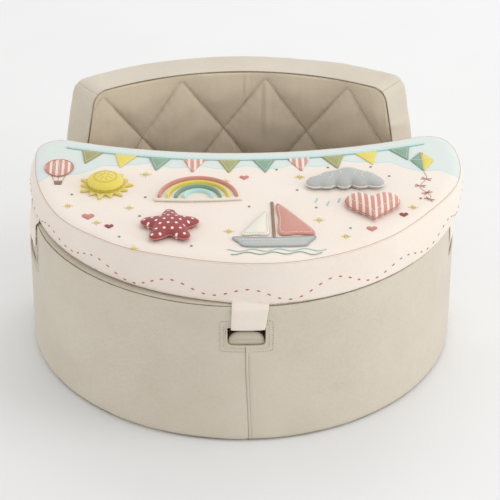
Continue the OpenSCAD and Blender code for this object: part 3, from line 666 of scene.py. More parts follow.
def slot_outline(grow, low_round=SLOT_CORNER, high_round=2.0, count=8):
    """Closed outline of a slot as (across, height), grown on all sides, with a slightly bowed lower edge."""
    half, low, high = SLOT_W / 2 + grow, SLOT_Z - grow, SLOT_TOP + grow
    out = []
    for cx, cz, start, radius in ((half, low, -90, low_round), (half, high, 0, high_round),
                                  (-half, high, 90, high_round), (-half, low, 180, low_round)):
        centre = (cx - math.copysign(radius, cx), cz + (radius if start in (-90, 180) else -radius))
        a = np.radians(np.linspace(start, start + 90, count))
        out.append(np.stack([centre[0] + radius * np.cos(a), centre[1] + radius * np.sin(a)], -1))
    corner = np.concatenate(out)
    steps = [np.linspace(p, q, 8, endpoint=False)[1:] if np.linalg.norm(q - p) > 6 else p[None][:0]
             for p, q in zip(corner, np.roll(corner, -1, 0))]
    line = np.concatenate([np.concatenate([p[None], extra]) for p, extra in zip(corner, steps)])
    bow = 0.7 * np.maximum(1 - (line[:, 0] / half) ** 2, 0) * (line[:, 1] < SLOT_Z + 3)
    return line - np.stack([0 * bow, bow], -1)


def on_wall(outline, turn, r):
    """Points (across, height) laid on the round wall at radius r, turned to their place."""
    return raised(front(turn + np.degrees(outline[..., 0] / r), r), outline[..., 1])


def cut_slot(piece, turn):
    """Cuts a slot through a cover."""
    ends = [pocket_ring(0.5, turn, r) for r in (BASE_R - 9, BASE_R + 9)]
    count = len(ends[0])
    knife = make("slot_knife", ends, quads(2, count, False, True) + caps(2, count), canvas)
    fix_normals(knife)
    mod = piece.modifiers.new("Slot", "BOOLEAN")
    mod.object, mod.operation, mod.solver = knife, "DIFFERENCE", "EXACT"
    apply_modifiers(piece)
    bpy.data.objects.remove(knife)


def apply_modifiers(piece):
    """Turns a piece with modifiers into a plain mesh."""
    plain = bpy.data.meshes.new_from_object(piece.evaluated_get(bpy.context.evaluated_depsgraph_get()))
    piece.modifiers.clear()
    piece.data = plain


def centre_seam(z):
    """Angle of the front seam, which wanders a little to the right on its way down."""
    return np.degrees((2.2 - 3.2 * step(z, 0, 120)) / BASE_R)


def side_cover(side):
    """Half of the round front, from the centre seam to the rear corner."""
    name = "left" if side < 0 else "right"
    a = np.radians(np.linspace(0, RIM_SEAM - SEAM_GAP, 5)[1:])
    roll = np.stack([RIM_ROLL * (np.cos(a) - 1), RIM_Z - RIM_ROLL * (1 - np.sin(a))], -1)
    profile = np.concatenate([wall_profile(RIM_SEAM_Z), roll])
    share = np.concatenate([0.07 * np.linspace(0, 1, 40) ** 1.8, np.linspace(0.07, 1, 150)[1:]])
    grid = []
    for draw, z in profile:
        start = side * 0.02 + centre_seam(z)
        phi = start + (side * (CORNER_PHI - 0.1) - start) * share
        grid.append(raised(front(phi, BASE_R + draw), z))
    grid = np.stack(grid, 1)
    lift = 0.35 * ripple(grid * (1, 1, 0.55), 90, 11 + side) + 0.12 * ripple(grid, 26, 3)
    away = share[:, None] * abs(CORNER_PHI) * math.pi / 180 * BASE_R
    if side > 0:                                    # the right half laps over the seam in a small welt
        lift = lift + 0.5 * np.exp(-((away - 1.5) / 1.1) ** 2) - 0.3 * np.exp(-((away - 4.2) / 1.0) ** 2)
    piece = cloth(f"tub_cover_{name}", grid, outwards, canvas, lift=lift - 0.2,
                  seams=((1.0, 0.7 if side > 0 else 0.9), SOFT, None, DEEP))
    for turn in (TURNS["front"], TURNS[name]):
        cut_slot(piece, turn)
    return seat(piece, "seat", "stone_canvas", f"side_cover_{name}", *(["base_core"] if side < 0 else []))


def rear_cover():
    """Rear wall of the base and the back, up to the seam under the rear edge."""
    low = wall_profile(RIM_SEAM_Z)
    high = np.linspace(RIM_SEAM_Z, BACK_Z - REAR_ROUND, 30)[1:]
    z = np.concatenate([low[:, 1], high])
    draw = np.concatenate([low[:, 0], np.zeros(len(high))])
    blend = step(z, RIM_SEAM_Z, RIM_Z + 3)          # from the corners of the base to the ends of the back
    half = CORNER_PSI * (1 - blend) + end_limit(z, REAR_ROUND, BACK_R) * blend
    share = np.linspace(-1, 1, 180)
    grid = np.stack([raised(rear(share * h, BACK_R + d), zz) for h, d, zz in zip(half, draw, z)], 1)
    lift = 0.45 * ripple(grid * (1, 1, 0.5), 110, 21) + 0.12 * ripple(grid, 28, 4) - 0.5
    piece = cloth("tub_cover_rear", grid, outwards, canvas, lift=lift, seams=(SOFT, SOFT, None, SOFT))
    return seat(piece, "seat", "stone_canvas", "rear_panel")


def ring_edge(r, back, phi, psi):
    """Edge from the left end of the back round the front to the right end, with its outward normals."""
    share = np.linspace(0, 1.045, 150)
    turn, tail = np.minimum(share, 1) * phi, psi - np.clip((share - 1) / 0.045, 0, 1) * (psi - BACK_HALF + 0.1)
    edge = np.where((share <= 1)[:, None], front(turn, r), rear(tail, back))
    mix = step(share, 0.985, 1.01)[:, None]
    normal = front(turn, 1.0) * (1 - mix) + (rear(tail, 1.0) - (0, BACK_CY)) * mix
    normal /= np.linalg.norm(normal, axis=1, keepdims=True)
    return [np.concatenate([(c * (-1, 1))[:0:-1], c]) for c in (edge, normal)]


def rim():
    """Cover of the rim, rolled over both edges."""
    outer, n_out = ring_edge(BASE_R, BACK_R, CORNER_PHI, CORNER_PSI)
    inner, n_in = ring_edge(WELL_R, FRONT_R, WELL_PHI, WELL_PSI)
    columns = []
    for t in np.radians(np.linspace(RIM_SEAM + SEAM_GAP, 90, 5)):
        plan = outer - n_out * RIM_ROLL * (1 - math.cos(t))
        columns.append(raised(plan, RIM_Z - RIM_ROLL * (1 - math.sin(t))))
    start, end = outer - n_out * RIM_ROLL, inner + n_in * WELL_ROLL
    for s in np.linspace(0, 1, 14)[1:-1]:
        columns.append(raised(start * (1 - s) + end * s, RIM_Z))
    for t in np.radians(np.linspace(90, 0, 7)):
        plan = inner + n_in * WELL_ROLL * (1 - math.cos(t))
        columns.append(raised(plan, RIM_Z - WELL_ROLL * (1 - math.sin(t))))
    columns.append(raised(inner, WELL_SEAM_Z))
    grid = np.stack(columns, 1)

    def up(p):
        plan = p[..., :2]
        lean_out = 2 / (BASE_R + WELL_R) - 1 / np.linalg.norm(plan, axis=-1, keepdims=True)
        return raised(plan * lean_out * 9, 1.0)
    lift = 0.3 * ripple(grid, 60, 31) - 0.4
    piece = cloth("rim_roll", grid, up, canvas, lift=lift, seams=(SOFT, SOFT, DEEP, SOFT))
    # A dark cord in the rim's seam paints the shade of its groove
    a, reach = math.radians(RIM_SEAM), RIM_ROLL - 1.2
    phi = np.linspace(-CORNER_PHI + 1, CORNER_PHI - 1, 240)
    line = raised(front(phi, BASE_R - RIM_ROLL + reach * math.cos(a)), RIM_SEAM_Z + reach * math.sin(a))
    seam_line("rim_seam", line)
    return seat(piece, "seat", "stone_canvas", "rim_cover")


def well():
    """Lining of the well's round wall, and of its corners beside the quilted panel."""
    edge = ring_edge(WELL_R, FRONT_R, WELL_PHI, WELL_PSI)[0]
    z = np.linspace(FLOOR_Z + 1, WELL_SEAM_Z, 44)
    grid = np.stack([raised(edge, h) for h in z], 1)
    lift = 0.8 * ripple(grid * (1, 1, 0.35), 60, 41) - 0.3
    piece = cloth("well_cloth", grid, lambda p: -outwards(p), lining, lift=lift, seams=(SOFT, SOFT, None, SOFT))
    return seat(piece, "seat", "stone_canvas", "well_lining")


def tub_plan(inset, count=240):
    """Closed outline of the tub drawn in by inset."""
    phi = np.linspace(-CORNER_PHI, CORNER_PHI, count * 2 // 3, endpoint=False)
    psi = np.linspace(CORNER_PSI, -CORNER_PSI, count // 3, endpoint=False)
    return np.concatenate([front(phi, BASE_R - inset), rear(psi, BACK_R - inset)])


def bottom():
    """Bottom cloth with its grip dots."""
    ring = [raised(tub_plan(FOOT * (1 - math.cos(t)) - 0.5), FOOT * (1 - math.sin(t)) + 0.2)
            for t in np.radians((50, 62, 72, 82))]
    ring += [raised(tub_plan(FOOT) * s, 0.5) for s in (1, 0.92, 0.75, 0.5, 0.25, 0.02)]
    ring += [raised(tub_plan(FOOT) * s, 2.0) for s in (0.02, 0.5, 0.95)]
    grid = np.stack(ring, 0)
    piece = make("bottom_cloth", grid, quads(*grid.shape[:2], True, True), grip_cloth, grid[..., :2] * MM)
    fix_normals(piece)
    seat(piece, "seat", "grip_fabric", "bottom_panel", "floor_core")
    spots = []
    for i, y in enumerate(np.arange(-225, 165, 11)):
        for x in np.arange(-226 + (i % 2) * 6.5, 232, 13):
            if math.hypot(x, y) < BASE_R - 24 and math.hypot(x, y - BACK_CY) < BACK_R - 24:
                spots.append((x, y, 0.45))
    dots = beads("grip_dots", [spots], grip_rubber, size=(5.5, 5.5, 0.9), on_points=True, sides=8)
    return seat(dots, "seat", "grip_fabric")


def cushion_outline(inset, count=150):
    """Closed outline of the seat cushion: the well, drawn in."""
    rf, rr = WELL_R - 4.5 - inset, QUILT_R - 4.5 - inset
    phi, psi = meeting(rf, rr)
    return np.concatenate([front(np.linspace(-phi, phi, count * 3 // 4, endpoint=False), rf),
                           rear(np.linspace(psi, -psi, count // 4, endpoint=False), rr)])


def apply_cloth(piece, pressure, cap, pinned, frames=20):
    """Inflates a mesh with Blender's cloth and moves each point by at most cap millimetres."""
    before = points_of(piece)
    group = piece.vertex_groups.new(name="Held")
    group.add([int(i) for i in np.flatnonzero(pinned(before))], 1.0, "REPLACE")
    mod = piece.modifiers.new("Cloth", "CLOTH")
    mod.settings.quality = 5
    mod.settings.mass = 0.15
    mod.settings.use_pressure = True
    mod.settings.uniform_pressure_force = pressure
    mod.settings.effector_weights.gravity = 0
    mod.settings.vertex_group_mass = "Held"
    mod.settings.tension_stiffness = mod.settings.compression_stiffness = 8
    mod.settings.bending_stiffness = 0.4
    mod.point_cache.frame_start, mod.point_cache.frame_end = 1, frames
    for f in range(1, frames + 1):
        bpy.context.scene.frame_set(f)
    moved = points_of(piece.evaluated_get(bpy.context.evaluated_depsgraph_get())) - before
    bpy.context.scene.frame_set(1)
    piece.modifiers.clear()
    piece.vertex_groups.clear()
    moved *= np.minimum(1, cap / np.maximum(np.linalg.norm(moved, axis=1, keepdims=True), 1e-6))
    move_points(piece, before + moved)


def remesh(piece, voxel):
    """Even quads of about voxel millimetres."""
    mod = piece.modifiers.new("Remesh", "REMESH")
    mod.mode = "VOXEL"
    mod.voxel_size = voxel * MM
    mod.use_smooth_shade = True
    apply_modifiers(piece)


def seat_cushion():
    """Seat cushion: crowned, drawn in at its waist seam, blown up by a short cloth simulation."""
    low, top = (c[2] for c in corners("seat_pad"))
    rise = top - low
    form = ((16, 0.04), (7, 0.06), (2.5, 0.2), (1.5, 0.4), (2.5, 0.62), (7, 0.8), (24, 0.9), (60, 0.93),
            (110, 0.94))                            # how far drawn in, and share of the rise
    rings = [raised(cushion_outline(i), low + f * rise) for i, f in form]
    centre = [raised(cushion_outline(110) * s, low + 0.94 * rise) for s in (0.5, 0.02)]
    base = [raised(cushion_outline(16) * s, low + 0.04 * rise) for s in (0.02, 0.5)]
    grid = np.stack(rings + centre + base, 0)
    piece = make("seat_cushion", grid, quads(*grid.shape[:2], True, True), canvas)
    fix_normals(piece)
    remesh(piece, 6)
    apply_cloth(piece, 3.0, 5.0, lambda p: p[:, 2] < low + 0.12 * rise)
    p = points_of(piece)
    dent = 1.1 * ripple(p * (1, 1, 0.3), 70, 51) * step(p[:, 2], low + 0.6 * rise, top)
    p[:, 2] = np.clip(p[:, 2] + dent, low + 0.4, top + 3)
    move_points(piece, p)
    soften(piece)
    seat(piece, "seat", "stone_canvas", "seat_pad")
    line = raised(cushion_outline(-0.8, 300), low + 0.44 * rise)
    cord = sweep("seat_cushion_piping", line, oval(3.2, 3.2, 8), (0, 0, 1), canvas, looped=True)
    return seat(cord, "seat", "stone_canvas")


# ---- backrest ----

# Columns of the pattern, the column at which a sewn line ends, and the columns to the next end
QUILT_COLS, QUILT_PHASE, QUILT_PERIOD = 31, 18, 8
QUILT_ROW, QUILT_PUFF = 17.5, 9.0                   # height of a row, and of the full puffs
QUILT_TOP = BACK_Z - FRONT_ROUND - 0.5
QUILT_FIRST = BACK_Z - 8.5                          # height at which the sewn lines end
QUILT_HALF = BACK_HALF - 0.8
QUILT_COL = 2 * QUILT_HALF / QUILT_COLS             # degrees from column to column
PHASE_PER_MM = math.pi / QUILT_PERIOD * math.hypot(1 / 12.9, 1 / QUILT_ROW)


def quilt_limit(z):
    """Angle to the seam at the side of the quilted panel."""
    return np.minimum(end_limit(z, FRONT_ROUND, FRONT_R), BACK_HALF - 0.25)


def crease(x, z, place, top, length, width):
    """Height of one upright fold that runs down from the seam."""
    fade = step(z, top - length, top - length * 0.4) * step(top - z, -1, 3)
    ridge = np.exp(-((x - place - width) / width) ** 2)
    return (ridge - 1.3 * np.exp(-((x - place) / (width * 0.55)) ** 2)) * fade


def quilt():
    """Curved back panel, sewn down into diamonds, with puckers along the lines and soft upright folds."""
    across = np.sin(np.linspace(-1.35, 1.35, 281)) / math.sin(1.35)     # closer together towards the sides
    down = QUILT_TOP - (QUILT_TOP - FLOOR_Z - 4) * np.linspace(0, 1, 172) ** 1.15
    share, z = np.meshgrid(across, down, indexing="ij")
    limit = quilt_limit(z)
    psi = share * limit
    x = psi * math.pi / 180 * FRONT_R
    flat = np.stack([x, np.zeros_like(z), z], -1)
    a, b = psi / QUILT_COL + QUILT_COLS / 2 - QUILT_PHASE, np.maximum(QUILT_FIRST - z, 0) / QUILT_ROW
    p, q = np.pi * (a - b) / QUILT_PERIOD, np.pi * (a + b) / QUILT_PERIOD
    sewn = step(QUILT_FIRST - z, -1, 4)
    s = np.abs(np.sin(p) * np.sin(q)) + 0.05 * (1 - sewn)
    side = (limit - np.abs(psi)) * math.pi / 180 * FRONT_R
    free = 1
    for d, reach in ((side, 20), (QUILT_TOP - z, 38)):
        near, far = (np.sin(np.clip(d / w, 0, 1) * math.pi / 2) for w in (2.5, reach))
        free = free * (0.2 * near + 0.8 * far)
    height = QUILT_PUFF * s ** 0.46
    for phase in (p, q):
        away = np.abs(np.sin(phase)) / PHASE_PER_MM
        height -= 1.1 * np.exp(-(away / 1.7) ** 2) * sewn
        run = (q if phase is p else p) / PHASE_PER_MM
        pucker = np.sin(run * 0.52 + 2.5 * ripple(flat, 50, 61)) * np.exp(-away / 5) * np.clip(away / 2, 0, 1)
        height += 0.42 * pucker * sewn
    folds = np.maximum(ripple(flat * (1, 1, 0.22), 30, 63) - 0.25, 0)
    folds = 2.7 * folds + 0.7 * ripple(flat, 40, 64) + 0.34 * ripple(flat * (1, 1, 0.5), 13, 66)
    height += folds * np.clip(s * 2, 0, 1)
    height += 1.6 * crease(x, z, 5.5, QUILT_TOP, 40, 3.2) + 1.3 * crease(x, z, 29, QUILT_TOP - 14, 90, 4.5)
    height = np.maximum(height, -0.6) * free
    height *= step(z, FLOOR_Z + 14, FLOOR_Z + 44) * 0.9 + 0.1
    grid = raised(rear(psi, FRONT_R - height), z)
    inward = lambda g: np.stack([-g[..., 0], BACK_CY - g[..., 1], 0 * g[..., 2]], -1)
    piece = cloth("quilted_back", grid, inward, quilting, seams=(TIGHT, TIGHT, TIGHT, None), thickness=1.2)
    seat(piece, "seat", "quilted_canvas", "back_quilt", "back_core")
    lines = []
    for sign in (1, -1):
        for k in range(-8, 9):
            t = np.linspace(0.1, 11.6, 260)
            angle = (QUILT_PHASE + QUILT_PERIOD * k + sign * t - QUILT_COLS / 2) * QUILT_COL
            high = QUILT_FIRST - t * QUILT_ROW
            keep = np.abs(angle) < quilt_limit(high) - 0.4
            if keep.sum() > 12:
                lines.append(raised(rear(angle[keep], FRONT_R + 0.35), high[keep]))
    thread = beads("quilting_stitches", lines, shade_thread, pitch=3.6, size=(0.8, 0.8, 2.5))
    return seat(thread, "seat", "quilted_canvas")


def band_point(side, kind, t, inset, r):
    """Point of the band round the backrest. kind is end, corner or top, and t runs from 0 to 1 along it."""
    if kind == "top":
        psi = BACK_HALF + math.degrees(math.atan2(CORNER_X, r))
        return raised(rear(psi * (2 * t - 1), r), BACK_Z - inset)
    reach = CORNER_R - inset
    if kind == "corner":
        angle = np.radians(LEAN + (90 - LEAN) * t)
        x, z = CORNER_X + reach * np.cos(angle), CORNER_Z + reach * np.sin(angle)
    else:
        foot = RIM_Z - 8
        z = foot + (CORNER_Z + reach * math.sin(SLOPE) - foot) * t
        x = end_face(z, inset)
    return raised(rear(side * (BACK_HALF + np.degrees(np.arctan2(x, r))), r), z)


def band_section():
    """Radius and inset across the band, from the quilted panel's seam to the rear seam."""
    a = np.radians(np.linspace(0, 90, 7))
    first = [(FRONT_R + FRONT_ROUND * (1 - math.cos(t)), FRONT_ROUND * (1 - math.sin(t))) for t in a]
    flat = [(r, 0.0) for r in np.linspace(FRONT_R + FRONT_ROUND, BACK_R - REAR_ROUND, 14)[1:-1]]
    last = [(BACK_R - REAR_ROUND * (1 - math.sin(t)), REAR_ROUND * (1 - math.cos(t))) for t in a]
    return first + flat + last


def off_back(side=0):
    """Rough outward direction on the top band, or with a side of -1 or 1 on that end band."""
    def outward(p):
        radial = p[..., :2] - (0, BACK_CY)
        r = np.linalg.norm(radial, axis=-1, keepdims=True)
        radial = radial / r
        tangent = np.stack([radial[..., 1], -radial[..., 0]], -1)
        flat = radial * (2 * r - FRONT_R - BACK_R) / (BACK_R - FRONT_R) + side * tangent
        return raised(flat, 0.3 if side else 1.0)
    return outward


def seam_line(name, line, across=(0, 0, 1), wide=0.65):
    """Dark cord at the bottom of a tight seam: painted shadow for the shade in its groove."""
    cord = sweep(name, line, oval(wide, wide, 6), across, seam_shadow_cord)
    return seat(cord, "seat", "stone_canvas")


def back_bands():
    """Top band and the two end bands, which meet in mitred corners."""
    section = band_section()
    t = np.linspace(0, 1, 170)
    grid = np.stack([np.concatenate([
        band_point(-1, "corner", np.linspace(MITRE, 1, 12)[:-1], d, r),
        band_point(1, "top", t, d, r),
        band_point(1, "corner", np.linspace(1, MITRE, 12)[1:], d, r)]) for r, d in section], 1)
    lift = 0.5 * ripple(grid * (0.6, 1, 1), 55, 71) + 0.12 * ripple(grid, 22, 72) - 0.5
    piece = cloth("back_band_top", grid, off_back(), canvas, lift=lift, seams=(FINE, FINE, TIGHT, SOFT))
    seat(piece, "seat", "stone_canvas", "back_top_band")
    for side, name in ((-1, "left"), (1, "right")):
        grid = np.stack([np.concatenate([
            band_point(side, "end", np.linspace(0, 1, 46)[:-1], d, r),
            band_point(side, "corner", np.linspace(0, MITRE, 12), d, r)]) for r, d in section], 1)
        lift = 0.4 * ripple(grid * (1, 1, 0.8), 36, 73 + side) - 0.5
        folds = np.maximum(ripple(grid * (0.3, 0.3, 1) + (0, 0, 0.25) * grid[..., :1], 17, 76), 0)
        inner = 1 - step(np.linspace(0, 1, len(section)), 0.6, 0.9)
        lift += (2.4 if side > 0 else 0.8) * folds * step(grid[..., 2], RIM_Z, RIM_Z + 20) * inner
        piece = cloth(f"back_band_{name}", grid, off_back(side), canvas, lift=lift,
                      seams=(None, FINE, TIGHT, SOFT))
        seat(piece, "seat", "stone_canvas", f"back_end_{name}")
    # A dark cord in the seam between the bands and the quilted panel paints the shade of that groove
    r, d = FRONT_R - 0.3, FRONT_ROUND + 0.3
    up, down = np.linspace(0.03, 1, 40)[:-1], np.linspace(1, 0.03, 40)[1:]
    parts = ((-1, "end", up), (-1, "corner", np.linspace(0, 1, 20)[:-1]), (1, "top", t),
             (1, "corner", np.linspace(1, 0, 20)[1:]), (1, "end", down))
    line = np.concatenate([band_point(*part, d, r) for part in parts])
    seam_line("back_seam", line, (0, BACK_CY, 0) - line * (1, 1, 0))


# ---- slots, their pockets and stitching ----


def slots():
    """Turned edge, pocket, double stitching and loop tape of each slot."""
    for name, turn in TURNS.items():
        edge = on_wall(slot_outline(0.9), turn, BASE_R - 0.6)
        side = edge * (1, 1, 0) / np.linalg.norm(edge[:, :2], axis=1)[:, None]
        rim_piece = sweep(f"slot_edge_{name}", edge, oval(2.0, 1.8, 8), side, canvas, looped=True)
        seat(rim_piece, "seat", "stone_canvas", f"slot_facing_{name}")
        rings = [pocket_ring(grow, turn, r) for r, grow in (
            (BASE_R - 1.2, 0.6), (BASE_R - 5, 0.2), (BASE_R - 14, 0.1), (POCKET_R + 8, 0), (POCKET_R + 3, -1.0),
            (POCKET_R + 0.8, -3.5))]
        centre = rings[-1].mean(0)
        rings += [centre + (rings[-1] - centre) * share for share in (0.6, 0.2, 0.02)]
        grid = np.stack([closed(ring) for ring in rings], 1)
        middle = pocket_ring(0, turn, BASE_R - 16).mean(0)
        # The pocket's cloth is painted brown, darker than the stone canvas, as shade inside the slot
        piece = cloth(f"slot_lining_{name}", grid, lambda p, m=middle: m - p, pocket_cloth_painted_shade, seams=OPEN,
                      thickness=1.0, lift=0.5 * ripple(grid, 16, 81))
        seat(piece, "seat", "stone_canvas", f"slot_pocket_{name}")
        seat(pocket_roll(name, turn), "seat", "stone_canvas")
        for row, grow, finish in (("inner", 4.2, stone_thread), ("outer", 8.4, shade_thread)):
            ring = on_wall(slot_outline(grow, 3.0, 3.0), turn, BASE_R - 0.1)
            thread = beads(f"slot_stitches_{row}_{name}", [closed(ring)], finish, pitch=2.7,
                           size=(0.4, 0.65, 1.35))
            seat(thread, "seat", "stone_canvas")
        low, high = corners(f"loop_tape_{name}")[0][2], corners(f"loop_tape_{name}")[1][2]
        across = np.linspace(-18, 18, 30)
        grid = np.stack([on_wall(np.stack([across, np.full(30, z)], -1), turn, BASE_R + 0.35)
                         for z in np.linspace(low, high, 14)], 1)
        tape = cloth(f"loop_tape_sewn_{name}", grid, outwards, loop_pile, seams=OPEN, thickness=1.0)
        seat(tape, "seat", "fastening_tape", f"loop_tape_{name}")


def pocket_roll(name, turn):
    """Padded fold of the pocket's lining that swells towards the slot and is pinched at its ends."""
    across, around = np.linspace(-20.6, 20.6, 44), np.linspace(0, 2 * math.pi, 24)
    full = np.sqrt(np.maximum(1 - (across / 20.9) ** 4, 0))[:, None]
    half = 1.6 + 6.9 * full
    z = SLOT_Z - 2.2 + half * (1 + np.sin(around)) + 0 * full
    r = BASE_R - 5.6 + (1.2 + 3.2 * full) * np.cos(around)
    turned = turn + np.degrees(across / BASE_R)[:, None]
    grid = raised(front(turned, r), z)
    middle = raised(front(turned, BASE_R - 5.6), SLOT_Z - 2.2 + half)
    streaks = 0.3 * ripple(np.stack([across[:, None] + 0 * z, 3.2 * z, 0 * z], -1), 30, 82)
    return cloth(f"slot_lining_fold_{name}", grid, lambda p: p - middle, lining, seams=OPEN, thickness=0.8,
                 lift=streaks)


def pocket_ring(grow, turn, r):
    """Outline of a slot, grown on all sides, at distance r from the axis and straight behind the slot."""
    shape = slot_outline(grow)
    a = math.radians(turn)
    x, y = shape[:, 0], -np.full(len(shape), r)
    return np.stack([x * math.cos(a) - y * math.sin(a), x * math.sin(a) + y * math.cos(a), shape[:, 1]], -1)


def tub_stitches():
    """Topstitching beside the centre seam."""
    z = np.linspace(6, SLOT_Z - 12, 60)
    draw = np.where(z < FOOT, FOOT - np.sqrt(np.maximum(FOOT ** 2 - (FOOT - z) ** 2, 0)), 0)
    line = raised(np.stack([front(a + 0.78, r) for a, r in zip(centre_seam(z), BASE_R - draw + 0.1)]), z)
    thread = beads("centre_seam_stitches", [line], shade_thread, pitch=2.7, size=(0.55, 0.55, 1.5))
    seat(thread, "seat", "stone_canvas")


# ---- zip ----


def zipper():
    """Zip low on the rear wall: tape, coil, stitches and slider."""
    low, high = corners("cover_zip")[0][2], corners("cover_zip")[1][2]
    half, middle = 28.0, (low + high) / 2
    psi = np.linspace(-half, half, 200)
    for name, z0, z1 in (("lower", low, middle - 0.7), ("upper", middle + 0.7, high)):
        grid = np.stack([raised(rear(psi, BACK_R + 0.9), z) for z in np.linspace(z0, z1, 8)], 1)
        tape = cloth(f"zip_tape_{name}", grid, outwards, zip_cloth, seams=OPEN, thickness=0.8)
        seat(tape, "seat", "zip_tape", *(["cover_zip"] if name == "lower" else []))
    lines = [raised(rear(psi, BACK_R + 1.7), middle + d) for d in (-0.9, 0.9)]
    coil = beads("zip_coil", lines, zip_coil, pitch=1.5, size=(2.3, 2.3, 1.2))
    seat(coil, "seat", "zip_tape")
    seams = [raised(rear(psi, BACK_R + 1.3), z) for z in (low + 1.8, high - 1.8)]
    thread = beads("zip_stitches", seams, stone_thread, pitch=3.0, size=(0.65, 0.65, 2.1))
    seat(thread, "seat", "zip_tape")
    spot = corners("zip_slider")
    psi0 = math.degrees(math.atan2((spot[0][0] + spot[1][0]) / 2, (spot[0][1] + spot[1][1]) / 2 - BACK_CY))
    form = ((0.0, 4.2), (2.0, 5.0), (5.0, 5.0), (8.0, 4.4), (11.0, 3.0), (13.0, 2.2))
    line = [raised(rear(psi0 - 1.03 + math.degrees(s / BACK_R), BACK_R + 3.9), middle) for s, _ in form]
    rings = []
    for (s, w), p in zip(form, line):
        out = np.array([p[0], p[1] - BACK_CY, 0])
        out /= np.linalg.norm(out)
        shape = oval(2 * w, 3.4, 14, 0.7)
        rings.append(p + shape[:, :1] * np.array([0, 0, 1.0]) + shape[:, 1:] * out)
    near, far = (ring.mean(0) + (ring - ring.mean(0)) * 0.02 for ring in (rings[0], rings[-1]))
    grid = np.stack([near, *rings, far])
    size = grid.shape[:2]
    body = make("zip_slider_body", grid, quads(*size, False, True) + caps(*size), zip_enamel)
    fix_normals(body)
    soften(body, 2)
    seat(body, "slider", "zip_metal", "zip_slider")


# ---- tray ----

# Centre of the round tip at the tray's right end, about the tray's centre
TIP_YC = ((TRAY_R - TIP_R) ** 2 - (REAR_R + TIP_R) ** 2 + REAR_D ** 2) / (2 * REAR_D)
TIP_XC = math.sqrt((TRAY_R - TIP_R) ** 2 - TIP_YC ** 2)


# The sewn cover sits a little unevenly on its pad. Each table pairs an angle from the front with millimetres
# Upper seam, outwards
SEAM_OUT = ((-112, 0), (-104, -1), (-98, -3), (-92, -6), (-88, -6), (-84, -5), (-80, -3.7), (-76, -2.4),
            (-72, -0.8), (-68, 0.7), (-64, 2.7), (-60, 4.6), (-56, 6), (-52, 6.3), (-48, 5.4), (-44, 4),
            (-37, 2.9), (-31, 1.2), (-26, -1.3), (-21, -3.4), (-16, -4.4), (-10, -4), (-5, -3.3), (0, -2.2),
            (5, -1.2), (10, -0.7), (20, -0.7), (30, -1), (40, -1.4), (46, -2.8), (50, -3.3), (55, -3.4),
            (60, -2), (65, 0.2), (70, 2.2), (75, 2), (79, 0.4), (83, -1.6), (87, -4.4), (90, -6.6), (93, -8),
            (97, -5), (103, -1.5), (110, 0))
# Lower edge, outwards and down
EDGE_OUT = ((-26, 0), (-18, 0.2), (-8, 1), (0, 3), (6, 5.2), (15, 5.3), (20, 4.8), (26, 4.5), (31, 4.4),
            (45, 2.8), (60, 1.4), (70, 0.6), (80, 0))
EDGE_DOWN = ((-36, 0), (-26, 0.2), (-16, 0.9), (-9, 1.8), (-5, 2.6), (5, 2.7), (9, 2.2), (15, 2), (26, 2),
             (31, 1.5), (45, 1.1), (60, 0.6), (70, 0.3), (80, 0))
# Middle of the side, outwards
SIDE_OUT = ((-112, 0), (-98, 1.8), (-84, 2.0), (-66, 0.8), (-40, 0.3), (0, 0), (35, 0.6), (58, 2.2),
            (75, 2.9), (92, 2.6), (110, 0))


def tray_angle(plan):
    """Angle from the front of points about the tray's centre."""
    return np.degrees(np.arctan2(plan[..., 0], -plan[..., 1]))


def shifted(plan, knots, reach=70):
    """Points about the tray's centre, moved outwards by a table. The move fades towards the middle."""
    r = np.hypot(plan[..., 0], plan[..., 1])
    push = np.interp(tray_angle(plan), *zip(*knots)) * step(r, TRAY_R - 25 - reach, TRAY_R - 25)
    return plan * (1 + push / np.maximum(r, 1))[..., None]


def tray_edges(inset, x):
    """Front and rear edge of the tray at sideways place x, about its centre."""
    tip = TIP_R - inset
    low = -np.sqrt(np.maximum((TRAY_R - inset) ** 2 - x ** 2, 0))
    away = np.hypot(TIP_XC, REAR_D - TIP_YC)
    join = TIP_XC - tip * TIP_XC / away
    ax = np.abs(x)
    high = np.where(ax < join, REAR_D - np.sqrt(np.maximum((REAR_R + inset) ** 2 - x ** 2, 1)),
                    TIP_YC + np.sqrt(np.maximum(tip ** 2 - (ax - TIP_XC) ** 2, 0)))
    return low, high


def tray_loop(inset, spacing=2.6):
    """Closed outline of the tray drawn in by inset, about its centre, evenly spaced."""
    w = math.degrees(math.atan2(TIP_YC, TIP_XC))
    u = math.degrees(math.atan2(REAR_D - TIP_YC, -TIP_XC))

    def arc(cx, cy, r, a, b):
        count = max(int(abs(b - a) * math.pi / 180 * r / spacing), 4)
        t = np.radians(np.linspace(a, b, count, endpoint=False))
        return np.stack([cx + r * np.cos(t), cy + r * np.sin(t)], -1)
    return np.concatenate([arc(0, 0, TRAY_R - inset, 180 - w, 360 + w),
                           arc(TIP_XC, TIP_YC, TIP_R - inset, w, u),
                           arc(0, REAR_D, REAR_R + inset, u - 180, -u),
                           arc(-TIP_XC, TIP_YC, TIP_R - inset, 180 - u, 180 - w)])


def tray_depth(x, y):
    """Distance from the tray's edge for points about its centre."""
    tx = np.abs(x) - TIP_XC
    tip = TIP_R - np.hypot(tx, y - TIP_YC)
    edge = np.minimum(TRAY_R - np.hypot(x, y), np.hypot(x, y - REAR_D) - REAR_R)
    return np.where((tx > 0) & (y > TIP_YC), np.minimum(tip, edge), edge)


def tray_height(x, y):
    """Height of the tray's top at a world place, for what lies on it."""
    d = tray_depth(x - TRAY_X, y - TRAY_Y)
    return TRAY_TOP_Z - TRAY_DROP * (1 - np.clip(d / TRAY_EDGE, 0, 1)) ** 2.4


